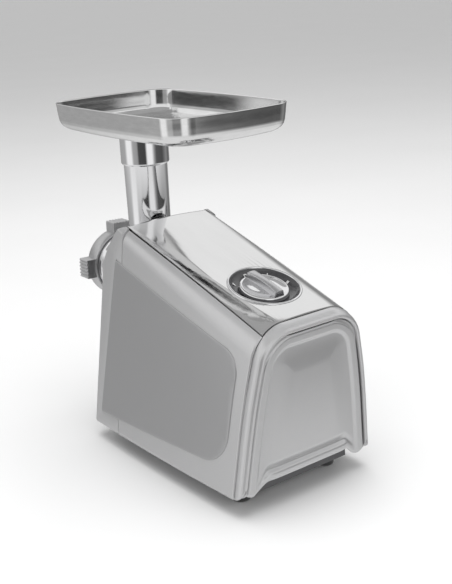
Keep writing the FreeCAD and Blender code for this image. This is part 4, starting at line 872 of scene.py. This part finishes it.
# ------------------------------------------------------------------ switch
# The dial's steel spindle drops through the cover into a rotary switch of dark phenolic.

spindle_steel = finish("spindle_steel", (0.58, 0.58, 0.59), 0.27, 1.0, grain=600, stretch=(1, 1, 0.1),
                       shade=0.04)
phenolic = finish("switch_phenolic", (0.07, 0.045, 0.03), 0.45, grain=300, shade=0.2, relief=0.1)
dressed(spindle_steel, "dial_spindle", "first_spindle", "second_spindle", "motor_shaft", "output_shaft")
dressed(phenolic, "rotary_switch")

# ------------------------------------------------------------------ gear train
# The motor's pinion drives a moulded nylon wheel, then a steel pair and the output wheel, in
# a die-cast case closed by a cover with screws.

nylon = finish("gear_nylon", (0.74, 0.72, 0.66), 0.44, grain=260, shade=0.04, relief=0.06)
sintered = finish("sintered_steel", (0.36, 0.36, 0.37), 0.40, 1.0, grain=800, shade=0.1, relief=0.1)
die_cast = finish("die_cast_alloy", (0.50, 0.50, 0.51), 0.5, 1.0, grain=240, shade=0.08,
                  uneven=0.1, relief=0.3)
zinc_screw = finish("zinc_screw", (0.62, 0.60, 0.52), 0.3, 1.0, grain=500, shade=0.05)
dressed(nylon, "first_gear")
dressed(sintered, "second_gear", "output_gear")
dressed(die_cast, "gearbox_case", "gearbox_cover")
dressed(zinc_screw, "gearbox_screws", "foot_screws", "base_screws", "motor_bolts")

# ------------------------------------------------------------------ motor
# A series motor: laminated stator with two coils, a wound rotor with its commutator, brushes
# in brass holders, and a fan, hung between two pressed brackets.

lamination = finish("lamination_steel", (0.22, 0.22, 0.225), 0.5, 0.8, grain=1400, stretch=(0.05, 1, 0.05),
                    shade=0.3, relief=0.3)
copper = finish("copper_wire", (0.55, 0.22, 0.09), 0.32, 1.0, grain=1500, stretch=(0.2, 1, 1), shade=0.2,
                relief=0.4)
bar_copper = finish("bar_copper", (0.68, 0.36, 0.2), 0.2, 1.0, grain=500, shade=0.08)
carbon = finish("brush_carbon", (0.03, 0.03, 0.032), 0.6, grain=600, shade=0.2)
brass = finish("holder_brass", (0.66, 0.50, 0.22), 0.28, 1.0, grain=400, shade=0.06)
fan_plastic = finish("fan_plastic", (0.30, 0.31, 0.32), 0.45, grain=350, shade=0.08, relief=0.08)
dressed(lamination, "stator_core", "rotor_core")
dressed(copper, "field_coils", "rotor_windings")
dressed(bar_copper, "commutator")
dressed(carbon, "carbon_brushes")
dressed(brass, "brush_holders")
dressed(fan_plastic, "cooling_fan")
dressed(zinc_sheet, "motor_front_bracket", "motor_rear_bracket", "capacitor_saddle")
dressed(ground_steel, "motor_bearings")

# ------------------------------------------------------------------ electrics
# The cord's inlet is a black rubber grommet in the base. A pale terminal block and a grey
# capacitor in its saddle stand beside the motor.

pale_plastic = finish("terminal_plastic", (0.62, 0.60, 0.54), 0.5, grain=400, shade=0.05)
can_lacquer = finish("capacitor_lacquer", (0.33, 0.35, 0.38), 0.35, grain=500, shade=0.06, coat=0.2)
dressed(rubber, "cord_inlet")
dressed(pale_plastic, "terminal_block")
dressed(can_lacquer, "motor_capacitor")
